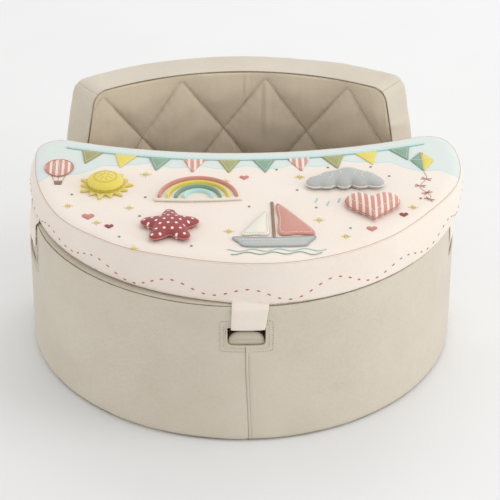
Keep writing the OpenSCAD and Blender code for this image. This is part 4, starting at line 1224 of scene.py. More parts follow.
def tray():
    """Top, side band and underside of the tray, and the threads of its seams."""
    theta = np.linspace(-90, 90, 261)
    s = (1 - np.cos(np.linspace(0, math.pi, 110))) / 2
    x = (TRAY_R - 0.9) * np.sin(np.radians(theta))
    low, high = tray_edges(0.8, x)
    y = low[:, None] + (high - low)[:, None] * s
    xx = np.broadcast_to(x[:, None], y.shape)
    d = np.maximum(tray_depth(xx, y) - 0.8, 0)
    flat = np.stack([xx, y, 0 * y], -1)
    plan = shifted(flat[..., :2], SEAM_OUT)
    z = HIGH_SEAM_Z + TRAY_DROP * (1 - (1 - np.clip(d / TRAY_EDGE, 0, 1)) ** 2.4)
    z += 0.25 * ripple(flat, 120, 91) * step(d, 4, 30) - 0.25
    z += 0.35 * ripple(flat, 18, 92) * np.exp(-d / 6) * step(d, 0, 3)
    grid = raised(plan + (TRAY_X, TRAY_Y), z)
    under = grid.copy()
    under[..., 2] = HIGH_SEAM_Z - 1.5
    faces = quads(*grid.shape[:2])
    faces += [tuple(k + y.size for k in face[::-1]) for face in faces] + skirt(*grid.shape[:2])
    solid = np.stack([grid, under])
    # The top's cloth is a touch lighter than the band's: painted light on the upward face
    piece = make("tray_cushion_top", solid, faces, tray_top_cloth_painted_light, solid[..., :2] * MM)
    fix_normals(piece)
    seat(piece, "tray", "peach_cotton", "tray_top", "tray_core")

    loop = tray_loop(0)
    out = sideways(loop)
    centre = np.array([TRAY_X, TRAY_Y])
    high_move, low_move = shifted(loop, SEAM_OUT) - loop, shifted(loop, EDGE_OUT) - loop
    grid = np.stack([tray_side(loop, out, share) for share in np.linspace(0, 1, 24)], 1)
    piece = cloth("tray_cushion_band", grid, outwards_of_tray, peach, loop=True, seams=(None, None, FINE, FINE))
    seat(piece, "tray", "peach_cotton", "tray_side_band")

    rings = [raised(loop + centre - out * i + low_move * (1 - i / 12), TRAY_Z + 0.1 + f * (LOW_SEAM_Z - TRAY_Z)
                    - pulled(loop) * (1 - i / 12) ** 2) for i, f in
             ((1.0, 1.0), (1.6, 0.75), (3.2, 0.45), (6.5, 0.14), (12, 0.02))]
    x = (TRAY_R - 12) * np.sin(np.radians(theta[::3]))
    low, high = tray_edges(12, x)
    s = np.linspace(0, 1, 30)
    y = low[:, None] + (high - low)[:, None] * s
    grid = np.stack(rings, 1)
    under = cloth("tray_cushion_edge", grid, lambda p: outwards_of_tray(p) - (0, 0, 150), peach, loop=True,
                  seams=(None, None, FINE, None))
    seat(under, "tray", "peach_cotton", "tray_bottom")
    xx = np.broadcast_to(x[:, None], y.shape)
    flat = np.stack([xx + TRAY_X, y + TRAY_Y, TRAY_Z + 0.35 + 0 * y], -1)
    sole = cloth("tray_cushion_underside", flat, lambda p: p * 0 - (0, 0, 1), peach, seams=OPEN,
                 lift=-0.25 + 0.25 * ripple(flat, 60, 95))
    seat(sole, "tray", "peach_cotton")
    line = raised(loop + high_move - out * 1.5 + centre, HIGH_SEAM_Z + 0.1)
    cord = sweep("tray_seam", line, oval(0.9, 0.9, 6), (0, 0, 1), seam_thread, looped=True)
    seat(cord, "tray", "peach_cotton")


def sideways(loop):
    """Outward directions along a closed outline."""
    ahead = np.roll(loop, -1, 0) - np.roll(loop, 1, 0)
    out = np.stack([ahead[:, 1], -ahead[:, 0]], -1)
    return out / np.linalg.norm(out, axis=1, keepdims=True)


def tray_side(loop, out, share):
    """Line round the tray's side, share of the way up it. share is one number, or one for each point."""
    share = np.broadcast_to(np.asarray(share, float), loop.shape[:1])
    high_move, low_move = shifted(loop, SEAM_OUT) - loop, shifted(loop, EDGE_OUT) - loop
    plan = loop + high_move * share[:, None] ** 2 + low_move * (1 - share[:, None]) ** 2 + (TRAY_X, TRAY_Y)
    line = raised(plan, LOW_SEAM_Z + share * (HIGH_SEAM_Z - LOW_SEAM_Z) - (1 - share) ** 2 * pulled(loop))
    from_seam = np.minimum(share, 1 - share) * (HIGH_SEAM_Z - LOW_SEAM_Z)
    middle = np.sin(np.pi * share)
    push = 0.9 * np.maximum(middle, 0) ** 0.6 - 1.0 + np.interp(tray_angle(loop), *zip(*SIDE_OUT)) * middle
    push = push + 0.5 * ripple(line * (1, 1, 0.5), 70, 93) * middle
    push = push + 0.35 * ripple(line, 15, 94) * np.exp(-from_seam / 6) * np.minimum(from_seam / 3, 1)
    line[:, :2] += out * push[:, None]
    return line


def pulled(plan):
    """How far the tray's lower edge is drawn down by the front strap, and laps over the rim on the right."""
    return np.interp(tray_angle(plan), *zip(*EDGE_DOWN))


def outwards_of_tray(p):
    """Rough outward direction on the tray's side, which is hollow at the rear."""
    local = p[..., :2] - (TRAY_X, TRAY_Y)
    hollow = np.array([0, REAR_D]) - local
    rear_side = (local[..., 1] > REAR_D - REAR_R - 14) & (
        np.hypot(hollow[..., 0], hollow[..., 1]) < REAR_R + 12) & (np.abs(local[..., 0]) < TIP_XC - 6)
    plan = np.where(rear_side[..., None], hollow / 5, local)
    return np.concatenate([plan, np.zeros_like(p[..., :1])], -1)


# ---- straps ----


def tray_edge(turn):
    """Distance from the base's axis to the tray's edge in the direction of a strap."""
    a = math.radians(turn)
    c = TRAY_X * math.sin(a) - TRAY_Y * math.cos(a)
    return c + math.sqrt(TRAY_R ** 2 - TRAY_X ** 2 - TRAY_Y ** 2 + c * c)


def straps():
    """Cotton straps from the tray's lower seam into the slots, with hook tape behind."""
    for name, turn in TURNS.items():
        body = f"{name}_strap"
        top = tray_edge(turn) + (2.4 if name == "front" else 0)
        lip = SLOT_TOP - 2.0
        wall = BASE_R + (1.9 if name == "front" else 1.3)
        begin = LOW_SEAM_Z - (2.7 if name == "front" else 0)
        path = curve_through([(top - 3.6, begin + 10), (top - 2.1, begin + 5), (top - 1.0, begin + 1.5),
                              (top * 0.6 + wall * 0.4, begin - 1.2), (wall + 0.3, begin - 5), (wall + 0.2, 170),
                              (wall, lip + 4), (wall - 0.9, lip + 0.8), (BASE_R - 1.5, lip - 0.4),
                              (BASE_R - 7, lip - 0.9)], 6)
        a = math.radians(turn)
        out, side = np.array([math.sin(a), -math.cos(a), 0]), np.array([math.cos(a), math.sin(a), 0])
        line = path[:, :1] * out + path[:, 1:] * np.array([0, 0, 1])
        t = np.linspace(0, 2 * math.pi, 44, endpoint=False)
        c, s = np.cos(t), np.sin(t)
        shape = np.stack([np.sign(c) * np.abs(c) ** 0.28 * STRAP_W / 2,
                          np.sign(s) * np.abs(s) ** 0.5 * 1.05], -1)
        piece = sweep(f"strap_webbing_{name}", line, shape, side, peach)
        shape_strap(piece, name, side, out)
        soften(piece)
        seat(piece, body, "peach_cotton", f"strap_{name}")
        lo, hi = corners(f"hook_tape_{name}")[0][2], corners(f"hook_tape_{name}")[1][2]
        across = np.linspace(-17.5, 17.5, 26)
        plan = across[:, None] * side + out * (wall - 1.35 - across[:, None] ** 2 / 2 / BASE_R)
        grid = np.stack([plan + np.array([0, 0, z]) for z in np.linspace(lo, hi, 12)], 1)
        tape = cloth(f"hook_tape_sewn_{name}", grid, lambda p, o=out: -o + 0 * p, hook_pile, seams=OPEN,
                     thickness=0.8)
        seat(tape, body, "fastening_tape", f"hook_tape_{name}")


def shape_strap(piece, name, side, out):
    """Lays a strap round the wall and gives it the narrowing and the folds of cloth under tension."""
    p = points_of(piece)
    w = p @ side
    drop = np.clip((LOW_SEAM_Z - p[:, 2]) / (LOW_SEAM_Z - SLOT_TOP), 0, 1)
    spread = 1.02 - 0.085 * drop
    lean = (4.6 - 2.9 * drop) * (1 if name == "front" else 0)
    p += ((w * (spread - 1) + lean)[:, None] * side)
    p -= (w ** 2 / 2 / BASE_R)[:, None] * out
    fold = (0.45 * np.cos(w / 8.5 + 2.2 * drop) + 0.35 * ripple(p, 26, 97)) * np.sin(math.pi * drop)
    move_points(piece, p + fold[:, None] * out)


# ---- flat felt shapes and stuffed toys ----


def applique(name, outline, z, thick, finish, body, slot, nodes=(), border=None, soft=1.2):
    """Felt shape cut to a closed outline, with a soft edge, and a satin-stitched border where one is given."""
    p = np.asarray(outline, float)
    ahead = np.roll(p, -1, 0) - np.roll(p, 1, 0)
    area = np.sum(p[:, 0] * np.roll(p[:, 1], -1) - np.roll(p[:, 0], -1) * p[:, 1])
    inward = np.stack([-ahead[:, 1], ahead[:, 0]], -1) * (1 if area > 0 else -1)
    inward /= np.maximum(np.linalg.norm(inward, axis=1, keepdims=True), 1e-9)
    rings = [raised(p + inward * soft * i, z + h * thick) for i, h in
             ((0.3, 0.0), (0.0, 0.35), (0.12, 0.75), (0.5, 1.0))]
    piece = make(name, rings, quads(len(rings), len(p), False, True) + caps(len(rings), len(p)), finish)
    triangulate(piece)
    fix_normals(piece)
    seat(piece, body, slot, *nodes)
    if border:
        line = raised(p + inward * 0.4, z + thick * 0.75)
        cord = sweep(name + "_border", line, oval(1.9, 1.0, 8), (0, 0, 1), border, looped=True)
        seat(cord, body, slot)
    return piece


def triangulate(piece):
    """Splits large many-sided faces into triangles."""
    work = bmesh.new()
    work.from_mesh(piece.data)
    bmesh.ops.triangulate(work, faces=[f for f in work.faces if len(f.verts) > 4], ngon_method="BEAUTY")
    work.to_mesh(piece.data)
    work.free()


def spaced(outline, count):
    """Closed outline with count evenly spaced points."""
    p = np.asarray(outline, float)
    loop = closed(p)
    run = along(loop)
    want = np.linspace(0, run[-1], count, endpoint=False)
    return np.stack([np.interp(want, run, loop[:, k]) for k in (0, 1)], -1)


def puffed(outline, pitch=1.0):
    """Function that gives how high, from 0 to 1, stuffed cloth sewn along a closed outline rises over a place.

    It solves for a thin skin under even pressure on a grid of points. The square root gives a full round edge.
    """
    low, high = outline.min(0) - 2 * pitch, outline.max(0) + 2 * pitch
    x, y = np.arange(low[0], high[0], pitch), np.arange(low[1], high[1], pitch)
    xx, yy = np.meshgrid(x, y, indexing="ij")
    inside = np.zeros(xx.shape, bool)
    for (ax, ay), (bx, by) in zip(outline, np.roll(outline, -1, 0)):
        if ay != by:
            inside ^= ((ay > yy) != (by > yy)) & (xx < (bx - ax) * (yy - ay) / (by - ay) + ax)
    u = np.zeros(xx.shape)
    for _ in range(900):
        u[1:-1, 1:-1] = 0.25 * (u[2:, 1:-1] + u[:-2, 1:-1] + u[1:-1, 2:] + u[1:-1, :-2] + 1)
        u *= inside
    h = np.sqrt(u / u.max())

    def height(p):
        i = np.clip((p[:, 0] - x[0]) / pitch, 0, len(x) - 1.001)
        j = np.clip((p[:, 1] - y[0]) / pitch, 0, len(y) - 1.001)
        a, b = i.astype(int), j.astype(int)
        s, t = i - a, j - b
        near, far = (h[a, k] * (1 - s) + h[a + 1, k] * s for k in (b, b + 1))
        return near * (1 - t) + far * t
    return height


def stuffed(name, outline, place, thick, finish, body, slot, node, thread, puckers=26, base=0.0):
    """Stuffed toy: two cloths sewn and puckered along an outline, blown up by a short cloth simulation."""
    p = spaced(outline, 190)
    rise = puffed(p)
    run = along(p)
    pucker = np.sin(run / (run[-1] + 2) * 2 * math.pi * puckers + 1.5 * np.sin(run / 31))
    low = TOY_Z + base
    base_form = ((0.02, 0.02), (0.5, 0.02), (0.86, 0.02), (0.94, 0.05), (0.98, 0.16))
    rings = [raised(place + p * s, low + h * thick) for s, h in base_form]
    for s in (1.0, 0.985, 0.965, 0.94, 0.91, 0.87, 0.82, 0.75, 0.66, 0.55, 0.42, 0.28, 0.14, 0.02):
        dip = 0.07 * pucker * math.exp(-(1 - s) * 14) * min((1 - s) * 60, 1)
        rings.append(raised(place + p * s, low + thick * (0.28 + 0.7 * rise(p * s) + dip)))
    grid = np.stack(rings, 0)
    piece = make(name, grid, quads(*grid.shape[:2], False, True) + caps(*grid.shape[:2]), finish)
    fix_normals(piece)
    remesh(piece, 1.5)
    apply_cloth(piece, 2.0, 1.5, lambda q: q[:, 2] < low + 0.34 * thick, frames=16)
    shaped = points_of(piece)
    shaped[:, 2] = np.clip(shaped[:, 2], low, low + thick * 1.02)
    move_points(piece, shaped)
    soften(piece)
    seat(piece, body, slot, node)
    cord = sweep(name + "_seam", raised(place + p * 1.004, low + 0.28 * thick), oval(1.4, 0.9, 8), (0, 0, 1),
                 thread, looped=True)
    seat(cord, body, slot)
    return piece


def over(name, lines, thread, body, slot, height, pitch=2.6, size=(0.8, 0.8, 2.2)):
    """Running stitches over a toy or the tray. height is the cloth's, as a number or a function of x and y."""
    if not callable(height):
        level = height
        height = lambda x, y: np.full(len(x), level)
    lines = [np.asarray(line, float) for line in lines]
    laid = [raised(line, height(line[:, 0], line[:, 1])) for line in lines]
    piece = beads(name, laid, thread, pitch=pitch, size=size)
    return seat(piece, body, slot)


def top_of(piece):
    """Function that gives the height of a piece's upper side over a place, in millimetres."""
    bpy.context.view_layer.update()
    dg = bpy.context.evaluated_depsgraph_get()
    shown = piece.evaluated_get(dg)

    def height(x, y):
        out = []
        for a, b in zip(np.atleast_1d(x), np.atleast_1d(y)):
            hit, spot, _, _ = shown.ray_cast(Vector((a * MM, b * MM, 0.4)), Vector((0, 0, -1)))
            out.append(spot.z / MM if hit else TOY_Z + 1)
        return np.array(out)
    return height


def circle(cx, cy, r, count=40, start=0, end=360):
    """Line of points along a circle."""
    t = np.radians(np.linspace(start, end, count))
    return np.stack([cx + r * np.cos(t), cy + r * np.sin(t)], -1)


def sun():
    """Stuffed sun: a round stitched cushion on a ring of felt rays."""
    corner = np.arange(28)
    reach = np.where(corner % 2 == 0, np.where(corner % 4 == 0, 33.5, 29.5), 21.5)[:, None]
    ways = circle(0, 0, 1, 29)[:-1]
    rays = polygon_rounded(ways * reach, 1.1) + SUN
    applique("sun_rays", rays, TOY_Z, 2.4, felts["yellow"], "sun", "yellow_felt", soft=0.9)
    inner = polygon_rounded(ways * (reach - 3.4), 0.8) + SUN
    over("sun_ray_stitches", [closed(inner)], threads["white"], "sun", "yellow_felt", TOY_Z + 2.5, 2.6,
         (0.7, 0.6, 1.9))
    piece = stuffed("stuffed_sun", circle(0, 0, 21.5, 120)[:-1], SUN, 12.5, felts["yellow"], "sun",
                    "yellow_felt", "toy_sun", threads["gold"], base=2.2, puckers=22)
    high = top_of(piece)
    over("sun_centre_stitches", [circle(*SUN, 12.0), circle(*SUN, 13.6)], threads["gold"], "sun", "yellow_felt",
         high, 2.2, (0.8, 0.7, 1.8))
    spokes = [[(SUN[0] + d * math.cos(a), SUN[1] + d * math.sin(a)) for d in (4.0, 8.5)]
              for a in np.radians(np.arange(8) * 45 + 10)]
    over("sun_spoke_stitches", spokes, threads["rose"], "sun", "yellow_felt", high, 2.2, (0.8, 0.7, 1.8))


def heart_outline(width, count):
    """Closed outline of a heart about its middle."""
    t = -np.radians(np.linspace(0, 360, count, endpoint=False))
    y = 13 * np.cos(t) - 5 * np.cos(2 * t) - 2 * np.cos(3 * t) - np.cos(4 * t)
    return np.stack([16 * np.sin(t) ** 3, y], -1) * width / 32


def heart():
    """Stuffed heart with a running stitch inside its edge."""
    p = heart_outline(62, 240)
    piece = stuffed("stuffed_heart", p, HEART, 15, felts["striped"], "heart", "rose_felt", "toy_heart",
                    threads["rose"])
    inner = spaced(p * 0.8 + (0, 1.2), 90) + HEART
    over("heart_stitches", [closed(inner)], threads["white"], "heart", "rose_felt", top_of(piece), 3.2)


def star():
    """Stuffed star in dotted cotton."""
    t = np.radians(np.linspace(0, 360, 240, endpoint=False))
    r = 34 * (0.78 + 0.22 * np.cos(5 * (t - math.pi / 2)))
    stuffed("stuffed_star", np.stack([r * np.cos(t), r * np.sin(t)], -1), STAR, 15, felts["maroon"], "star",
            "maroon_felt", "toy_star", threads["rose"])


def cloud():
    """Stuffed cloud of five lobes with stitched curls."""
    lobes = ((-33, -3.5, 10.5), (-16, 3.5, 13.5), (6, 9, 16.5), (26, 2.5, 13.0), (37, -4.5, 9.5))
    t = np.radians(np.linspace(0, 360, 400, endpoint=False))
    ray = np.stack([np.cos(t), np.sin(t)], -1)
    reach = np.zeros(len(t))
    for cx, cy, r in lobes + ((0, -7, 8), (-20, -7, 8), (20, -7, 8)):
        along_ray = ray @ (cx, cy)
        gap = r * r - (cx * cx + cy * cy - along_ray ** 2)
        reach = np.maximum(reach, np.where(gap > 0, along_ray + np.sqrt(np.maximum(gap, 0)), 0))
    p = ray * reach[:, None]
    p[:, 1] = np.maximum(p[:, 1], -14.0)
    piece = stuffed("stuffed_cloud", p, CLOUD, 15, felts["grey"], "cloud", "grey_felt", "toy_cloud",
                    threads["white"], puckers=40)
    curls = [circle(CLOUD[0] + dx, CLOUD[1] + dy, r, 30, a, b) for dx, dy, r, a, b in
             ((-20, 1, 7, -60, 200), (5, 6, 9, -40, 210), (27, 0, 6.5, -20, 230))]
    over("cloud_stitches", curls, threads["white"], "cloud", "grey_felt", top_of(piece), 2.4, (0.9, 0.8, 1.9))


def rainbow():
    """Soft rainbow flap: a felt half disc with four padded arches."""
    across = 2 * np.arange(1, 30) / 30 - 1
    base = np.stack([50 * across, -2.5 * (1 - across ** 2)], -1)
    outline = np.concatenate([circle(0, 0, 50, 70, 0, 180), base]) + RAINBOW
    applique("rainbow_flap", outline, TOY_Z, 2.6, felts["cream"], "rainbow", "aqua_felt", ["toy_rainbow"],
             threads["white"], soft=1.5)
    for r, name in ((44.5, "rose"), (35.0, "yellow"), (25.5, "sage"), (16.0, "aqua")):
        line = raised(circle(*RAINBOW, r, 60, 4, 176), TOY_Z + 2.9)
        piece = sweep(f"rainbow_arch_{name}", line, oval(8.6, 4.4, 12), (0, 0, 1), felts[name])
        soften(piece)
        seat(piece, "rainbow", "aqua_felt")
        seam = beads(f"rainbow_stitches_{name}", [raised(circle(*RAINBOW, r, 60, 6, 174), TOY_Z + 5.0)],
                     threads["white"], pitch=3.4, size=(0.6, 0.6, 2.1))
        seat(seam, "rainbow", "aqua_felt")


def boat():
    """Felt hull and mast on the tray, with two felt sails that lift."""
    (x, y), z = BOAT, TRAY_TOP_Z
    hull = curve_through([(-46, 0), (-20, -1.2), (20, -1.2), (46, 0), (40, -12), (33, -20), (0, -21),
                          (-32, -20), (-40, -12)], 8, looped=True) + BOAT
    applique("boat_hull_felt", hull, z, 1.3, felts["grey"], "tray", "grey_felt", ["boat_hull"], threads["grey"])
    planks = [np.stack([np.linspace(x - w, x + w, 30), np.full(30, y - d)], -1)
              for w, d in ((38, 6.5), (34, 13))]
    over("boat_plank_stitches", planks, threads["white"], "tray", "grey_felt", z + 1.4, 3.2)
    mast = np.array([(x, y + s, z + 0.9) for s in np.linspace(-3, 76, 24)])
    piece = sweep("boat_mast", mast, oval(3.6, 1.8, 10), (1, 0, 0), threads["brown"])
    seat(piece, "tray", "grey_felt")
    sails = (("left", -1, 30, 52, felts["cream"], threads["aqua"], "cream_felt"),
             ("right", 1, 40, 66, felts["rose"], threads["white"], "rose_felt"))
    for name, side, reach, rise, finish, thread, slot in sails:
        start = corners(f"boat_sail_{name}")[1 if side < 0 else 0][0]
        corner = curve_through([(0, 0), (reach * 0.5, -0.8), (reach, 0), (reach * 0.62, rise * 0.46),
                                (0, rise), (0, rise * 0.5)], 8, looped=True)
        p = corner * (side, 1) + (start, y + 5)
        if side < 0:
            p = p[::-1]
        body = f"{name}_sail"
        applique(f"sail_felt_{name}", p, TOY_Z, 2.4, finish, body, slot, [f"boat_sail_{name}"], soft=1.5)
        inner = spaced(p + (p.mean(0) - p) * 0.16, 80)
        over(f"sail_stitches_{name}", [closed(inner)], thread, body, slot,
             TOY_Z + 2.5, 3.0)


def bunting():
    """Ten felt pennants on a tape along the tray's rear edge."""
    centre, z = np.array([TRAY_X, TRAY_Y + REAR_D]), TRAY_TOP_Z
    line_r, pitch = REAR_R + 24, 3.5                # radius of the tape, and degrees from pennant to pennant
    arc = centre + front(np.linspace(-5.3 * pitch, 5.3 * pitch, 160), line_r)
    tape = ribbon("bunting_ribbon", arc, z + 0.2, 4.2, 1.3, felts["aqua"])
    seat(tape, "tray", "aqua_felt", "bunting_tape")
    thread = beads("bunting_stitches", [raised(arc, z + 1.6)], threads["white"], size=(0.6, 0.6, 2.1))
    seat(thread, "tray", "aqua_felt")
    kinds = (("olive", "olive"), ("yellow", "yellow"), ("olive", "sage"), ("rose", "striped"),
             ("olive", "olive"), ("olive", "sage"), ("rose", "striped"), ("olive", "olive"),
             ("yellow", "yellow"), ("olive", "sage"))
    used = set()
    for k, (colour, look) in enumerate(kinds):
        a = math.radians((k - 4.5) * pitch)
        out, side = np.array([math.sin(a), -math.cos(a)]), np.array([math.cos(a), math.sin(a)])
        root = centre + out * (line_r + 1.2)
        shape, inner = (np.array([root + side * q[0] - out * q[1] for q in polygon_rounded(corner, radius)])
                        for corner, radius in (([(-13.5, 0), (0, -32), (13.5, 0)], 1.6),
                                               ([(-9.6, -3.2), (0, -26), (9.6, -3.2)], 1.0)))
        nodes = [] if colour in used else [f"bunting_{colour}"]
        used.add(colour)
        applique(f"pennant_{k}", shape, z + 0.05, 1.1, felts[look], "tray", f"{colour}_felt", nodes)
        over(f"pennant_stitches_{k}", [closed(inner)], threads["white"], "tray", f"{colour}_felt", z + 1.2, 2.8,
             (0.6, 0.6, 1.9))


def polygon_rounded(points, radius, count=5):
    """Closed outline with round corners."""
    p = np.asarray(points, float)
    out = []
    for k in range(len(p)):
        a, b, c = p[k - 1], p[k], p[(k + 1) % len(p)]
        u, v = (a - b) / np.linalg.norm(a - b), (c - b) / np.linalg.norm(c - b)
        half = math.acos(np.clip(u @ v, -1, 1)) / 2
        run = radius / math.tan(half)
        s = np.linspace(0, 1, count)[:, None]
        q0, q2 = b + u * run, b + v * run
        out.append((1 - s) ** 2 * q0 + 2 * s * (1 - s) * b + s ** 2 * q2)
        nxt = c + (b - c) / np.linalg.norm(b - c) * radius / math.tan(half)
        steps = max(int(np.linalg.norm(nxt - q2) / 2.5), 2)
        out.append(q2 + (nxt - q2) * np.linspace(0, 1, steps, endpoint=False)[1:, None])
    return np.concatenate(out)


def ribbon(name, plan, z, width, thick, finish):
    """Flat ribbon lying along a plan line."""
    ahead = np.gradient(plan, axis=0)
    side = np.stack([-ahead[:, 1], ahead[:, 0], 0 * ahead[:, 0]], -1)
    side /= np.linalg.norm(side, axis=1, keepdims=True)
    shape = oval(width, thick, 12, 0.5)
    return sweep(name, raised(plan, z + thick / 2), shape, side, finish)


# ---- embroidery on the tray ----


def satin(name, outline, colour, slot, height=0.9):
    """Filled patch of satin stitch on the tray: a low raised shape with its threads laid side by side."""
    p = spaced(polygon_rounded(outline, 0.8) if len(outline) < 12 else outline, 60)
    z = tray_height(p[:, 0], p[:, 1]).mean()
    return applique(name, p, z, height, threads[colour], "tray", slot, soft=0.7)


def embroidery():
    """Waves, rain, sparks, a balloon, a kite, small hearts and knots, sewn on the tray's cloth."""
    z = lambda a, b: tray_height(a, b) + 0.35
    for k, (y, colour) in enumerate(((-223, "aqua"), (-229.5, "sage"))):
        x = np.linspace(-20 + 4 * k, 88 - 5 * k, 120)
        wave = np.stack([x, y + 2.3 * np.sin((x + 6 * k) / 4.6)], -1)
        over(f"wave_stitches_{colour}", [wave], threads[colour], "tray", "aqua_felt", z, 1.7, (1.1, 0.9, 2.3))
    drops = [[(84 + 13 * k, -112 - 7 * (k % 2)), (81.8 + 13 * k, -119.5 - 7 * (k % 2))] for k in range(6)]
    over("drop_stitches", drops, threads["aqua"], "tray", "aqua_felt", z, 2.2, (1.6, 1.1, 3.0))
    sparks = []
    for x, y, r in ((-112, -52, 6), (-200, -122, 5), (-18, -182, 5), (84, -160, 5.5), (66, -62, 5),
                    (-130, -128, 4.5), (-20, -70, 4.5), (112, -196, 4.5), (-166, -160, 4.5), (192, -134, 5),
                    (-124, -212, 4.5)):
        for k in range(4):
            d = (r if k % 2 == 0 else r * 0.6) * circle(0, 0, 1, 1, 45 * k)[0]
            sparks.append([(x, y) - d, (x, y) + d])
    over("spark_stitches", sparks, threads["yellow"], "tray", "yellow_felt", z, 2.0, (0.9, 0.8, 2.2))

    # hot-air balloon on the left end
    bx, by = BALLOON
    t = np.radians(np.linspace(0, 360, 72, endpoint=False))
    skin = np.stack([17 * np.cos(t), 18 * np.sin(t) - 3.5 * np.maximum(-np.sin(t), 0) ** 3], -1)
    applique("balloon_felt", skin + BALLOON, tray_height(bx, by), 1.3, felts["striped"], "tray", "rose_felt",
             border=threads["rose"])
    t = np.linspace(-1.35, 1.35, 24)
    gores = [np.stack([bx + k * 6.2 * np.cos(t), by + 17 * np.sin(t)], -1) for k in (-1, 0, 1)]
    over("balloon_stitches", gores, threads["white"], "tray", "rose_felt", lambda a, b: z(a, b) + 1.2, 2.3,
         (0.8, 0.7, 1.8))
    basket = [(bx - 5, by - 31), (bx + 5, by - 31), (bx + 4, by - 39), (bx - 4, by - 39)]
    satin("balloon_basket", basket, "brown", "grey_felt")
    ropes = [[(bx + k * 8, by - (18.5 if k else 21)), (bx + k * 4.4, by - 31)] for k in (-1, 1, 0)]
    over("balloon_ropes", ropes, threads["brown"], "tray", "grey_felt", z, 2.0, (0.7, 0.6, 2.2))

    # kite on the right end
    kx, ky = KITE
    for name, colour, slot, corner in (("left", "sage", "olive_felt", [(0, 22), (-14, 2), (0, -24)]),
                                       ("right", "yellow", "yellow_felt", [(0.4, 22), (0.4, -24), (14, 2)])):
        p = polygon_rounded(corner, 1.0) + KITE
        applique(f"kite_felt_{name}", p, tray_height(kx, ky), 1.2, felts[colour], "tray", slot, soft=0.8)
    spars = [[(kx, ky + 20), (kx, ky - 22)], [(kx - 12, ky + 2), (kx + 12, ky + 2)]]
    over("kite_spar_stitches", spars, threads["white"], "tray", "yellow_felt", lambda a, b: z(a, b) + 1.1, 2.4,
         (0.8, 0.7, 1.9))
    s = np.linspace(0, 1, 60)
    tail = np.stack([kx - 4 * s + 7 * np.sin(9 * s) * s ** 0.5, ky - 24 - 66 * s], -1)
    over("kite_tail_stitches", [tail], threads["grey"], "tray", "grey_felt", z, 2.1, (0.8, 0.7, 2.2))
    bows = []
    for k in (16, 30, 44, 57):
        c, d = tail[k], tail[min(k + 1, 59)] - tail[k - 1]
        d /= np.linalg.norm(d)
        n = np.array([-d[1], d[0]])
        bows += [[c - n * 5 + d * 2, c, c - n * 5 - d * 2], [c + n * 5 + d * 2, c, c + n * 5 - d * 2]]
    over("kite_bow_stitches", bows, threads["rose"], "tray", "rose_felt", z, 1.6, (1.3, 1.0, 2.3))

    # small satin-stitched hearts and single knots
    hearts = ((-176, -146, 7, "rose"), (-152, -168, 5, "maroon"), (142, -180, 6, "rose"), (2, -62, 5.5, "rose"),
              (180, -150, 5, "maroon"))
    for k, (x, y, r, colour) in enumerate(hearts):
        satin(f"heart_patch_{k}", heart_outline(2 * r, 60) + (x, y), colour, "rose_felt")
    knots = [(x, y, tray_height(x, y) + 0.2) for x, y in (
        (118, -178), (150, -40), (40, -44), (-84, -84), (6, -128), (82, -132), (-196, -96), (-118, -146),
        (-140, -190), (202, -114), (62, -92), (-8, -92), (-60, -212), (-112, -104), (100, -40), (170, -62))]
    piece = beads("knot_stitches", [knots], threads["sage"], size=(3.2, 3.2, 1.8), on_points=True, sides=8)
    seat(piece, "tray", "olive_felt")


def band_stitches():
    """Running stitch in scallops round the tray's side band."""
    loop = tray_loop(0, 1.0)
    out = sideways(loop)
    run = along(loop)
    z = 12 + 6.5 * np.sin(run * math.pi / 47) + 2.5 * np.sin(run * math.pi / 81 + 1)
    line = tray_side(loop, out, z / (HIGH_SEAM_Z - LOW_SEAM_Z))
    line[:, :2] += out * 0.15
    line = line[run < run[-1] * 0.64]               # all round but for the hollow rear edge
    piece = beads("band_running_stitch", [line], rust_thread, pitch=12.5, size=(0.7, 1.9, 4.4))
    seat(piece, "tray", "rose_felt")


# ---- camera, stage and light ----


def camera():
    """Camera at the photograph's viewing angle."""
    distance, height, yaw, pitch = 3001 * MM, math.radians(33.14), math.radians(1.31), math.radians(31.48)
    data = bpy.data.cameras.new("Camera")
    data.sensor_width = 36.0
    focal, middle, width = 2438.9, 241.33, 500      # in pixels of the photograph
    data.lens = focal * data.sensor_width / width
    data.shift_x = (width / 2 - middle) / width
    made = bpy.data.objects.new("Camera", data)
    bpy.context.scene.collection.objects.link(made)
    away = distance * math.cos(height)
    made.location = (-away * math.sin(yaw), -away * math.cos(yaw), distance * math.sin(height))
    ahead = Vector((math.cos(pitch) * math.sin(yaw), math.cos(pitch) * math.cos(yaw), -math.sin(pitch)))
    made.rotation_mode = "QUATERNION"
    made.rotation_quaternion = ahead.to_track_quat("-Z", "Y")
    bpy.context.scene.camera = made


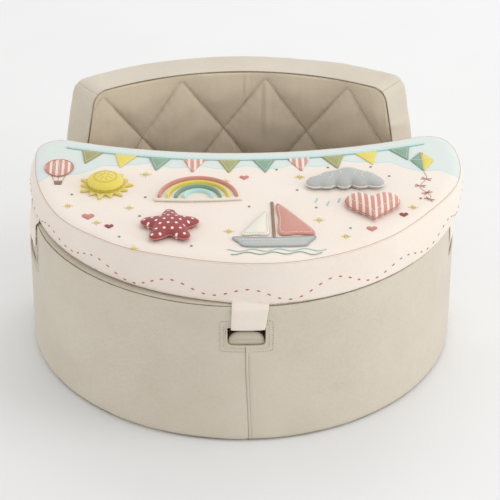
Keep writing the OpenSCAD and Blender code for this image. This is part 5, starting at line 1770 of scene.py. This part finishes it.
def floor():
    """Plain pale floor."""
    made, tree, shader = material("Matt studio paper, white")
    where = add(tree, "ShaderNodeTexCoord").outputs["Object"]
    grain = add(tree, "ShaderNodeTexNoise", {"Vector": where, "Scale": 6.0})
    shade = add(tree, "ShaderNodeMix", {0: grain.outputs[0], 6: linear("#E8E8E8"), 7: linear("#EDEDED")},
                data_type="RGBA")
    tree.links.new(shade.outputs[2], shader.inputs["Base Color"])
    shader.inputs["Roughness"].default_value = 0.95
    shader.inputs["Specular IOR Level"].default_value = 0.1
    reach = np.linspace(-30000, 30000, 25)
    grid = raised(np.stack(np.meshgrid(reach, reach, indexing="ij"), -1), -0.2)
    piece = make("studio_floor", grid, quads(*grid.shape[:2]), made)


def light(name, place, target, size, power):
    """Soft square light."""
    data = bpy.data.lights.new(name, "AREA")
    data.shape, data.size, data.energy = "SQUARE", size, power
    made = bpy.data.objects.new(name, data)
    bpy.context.scene.collection.objects.link(made)
    made.location = place
    made.rotation_mode = "QUATERNION"
    made.rotation_quaternion = (Vector(target) - Vector(place)).to_track_quat("-Z", "Y")


def studio():
    """Soft light from above, the right and a little from the left, with a bright surround."""
    world = bpy.data.worlds.new("Soft surround")
    world.use_nodes = True
    world.node_tree.nodes["Background"].inputs["Color"].default_value = (1, 1, 1, 1)
    world.node_tree.nodes["Background"].inputs["Strength"].default_value = 0.80
    bpy.context.scene.world = world
    light("Overhead", (0.3, 1.6, 2.2), (0, 0.8, 0), 1.8, 12.8)
    light("High right", (1.7, -0.4, 2.3), (0, 0.1, 0.2), 1.2, 8.5)
    light("Right", (2.2, -0.9, 0.9), (0, 0, 0.15), 1.4, 14)
    light("Left", (-2.3, -0.7, 0.5), (0, 0, 0.12), 1.2, 4.6)
    bpy.context.scene.view_settings.view_transform = "Standard"
    bpy.context.scene.view_settings.look = "None"


# ---- the whole ----

camera()
studio()
floor()
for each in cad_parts.values():
    each.data.materials.clear()
    each.data.materials.append(foam)
side_cover(-1)
side_cover(1)
for build in (rear_cover, rim, well, bottom, seat_cushion, quilt, back_bands, slots, tub_stitches, zipper, tray,
              straps, sun, heart, star, cloud, rainbow, boat, bunting, embroidery, band_stitches):
    build()
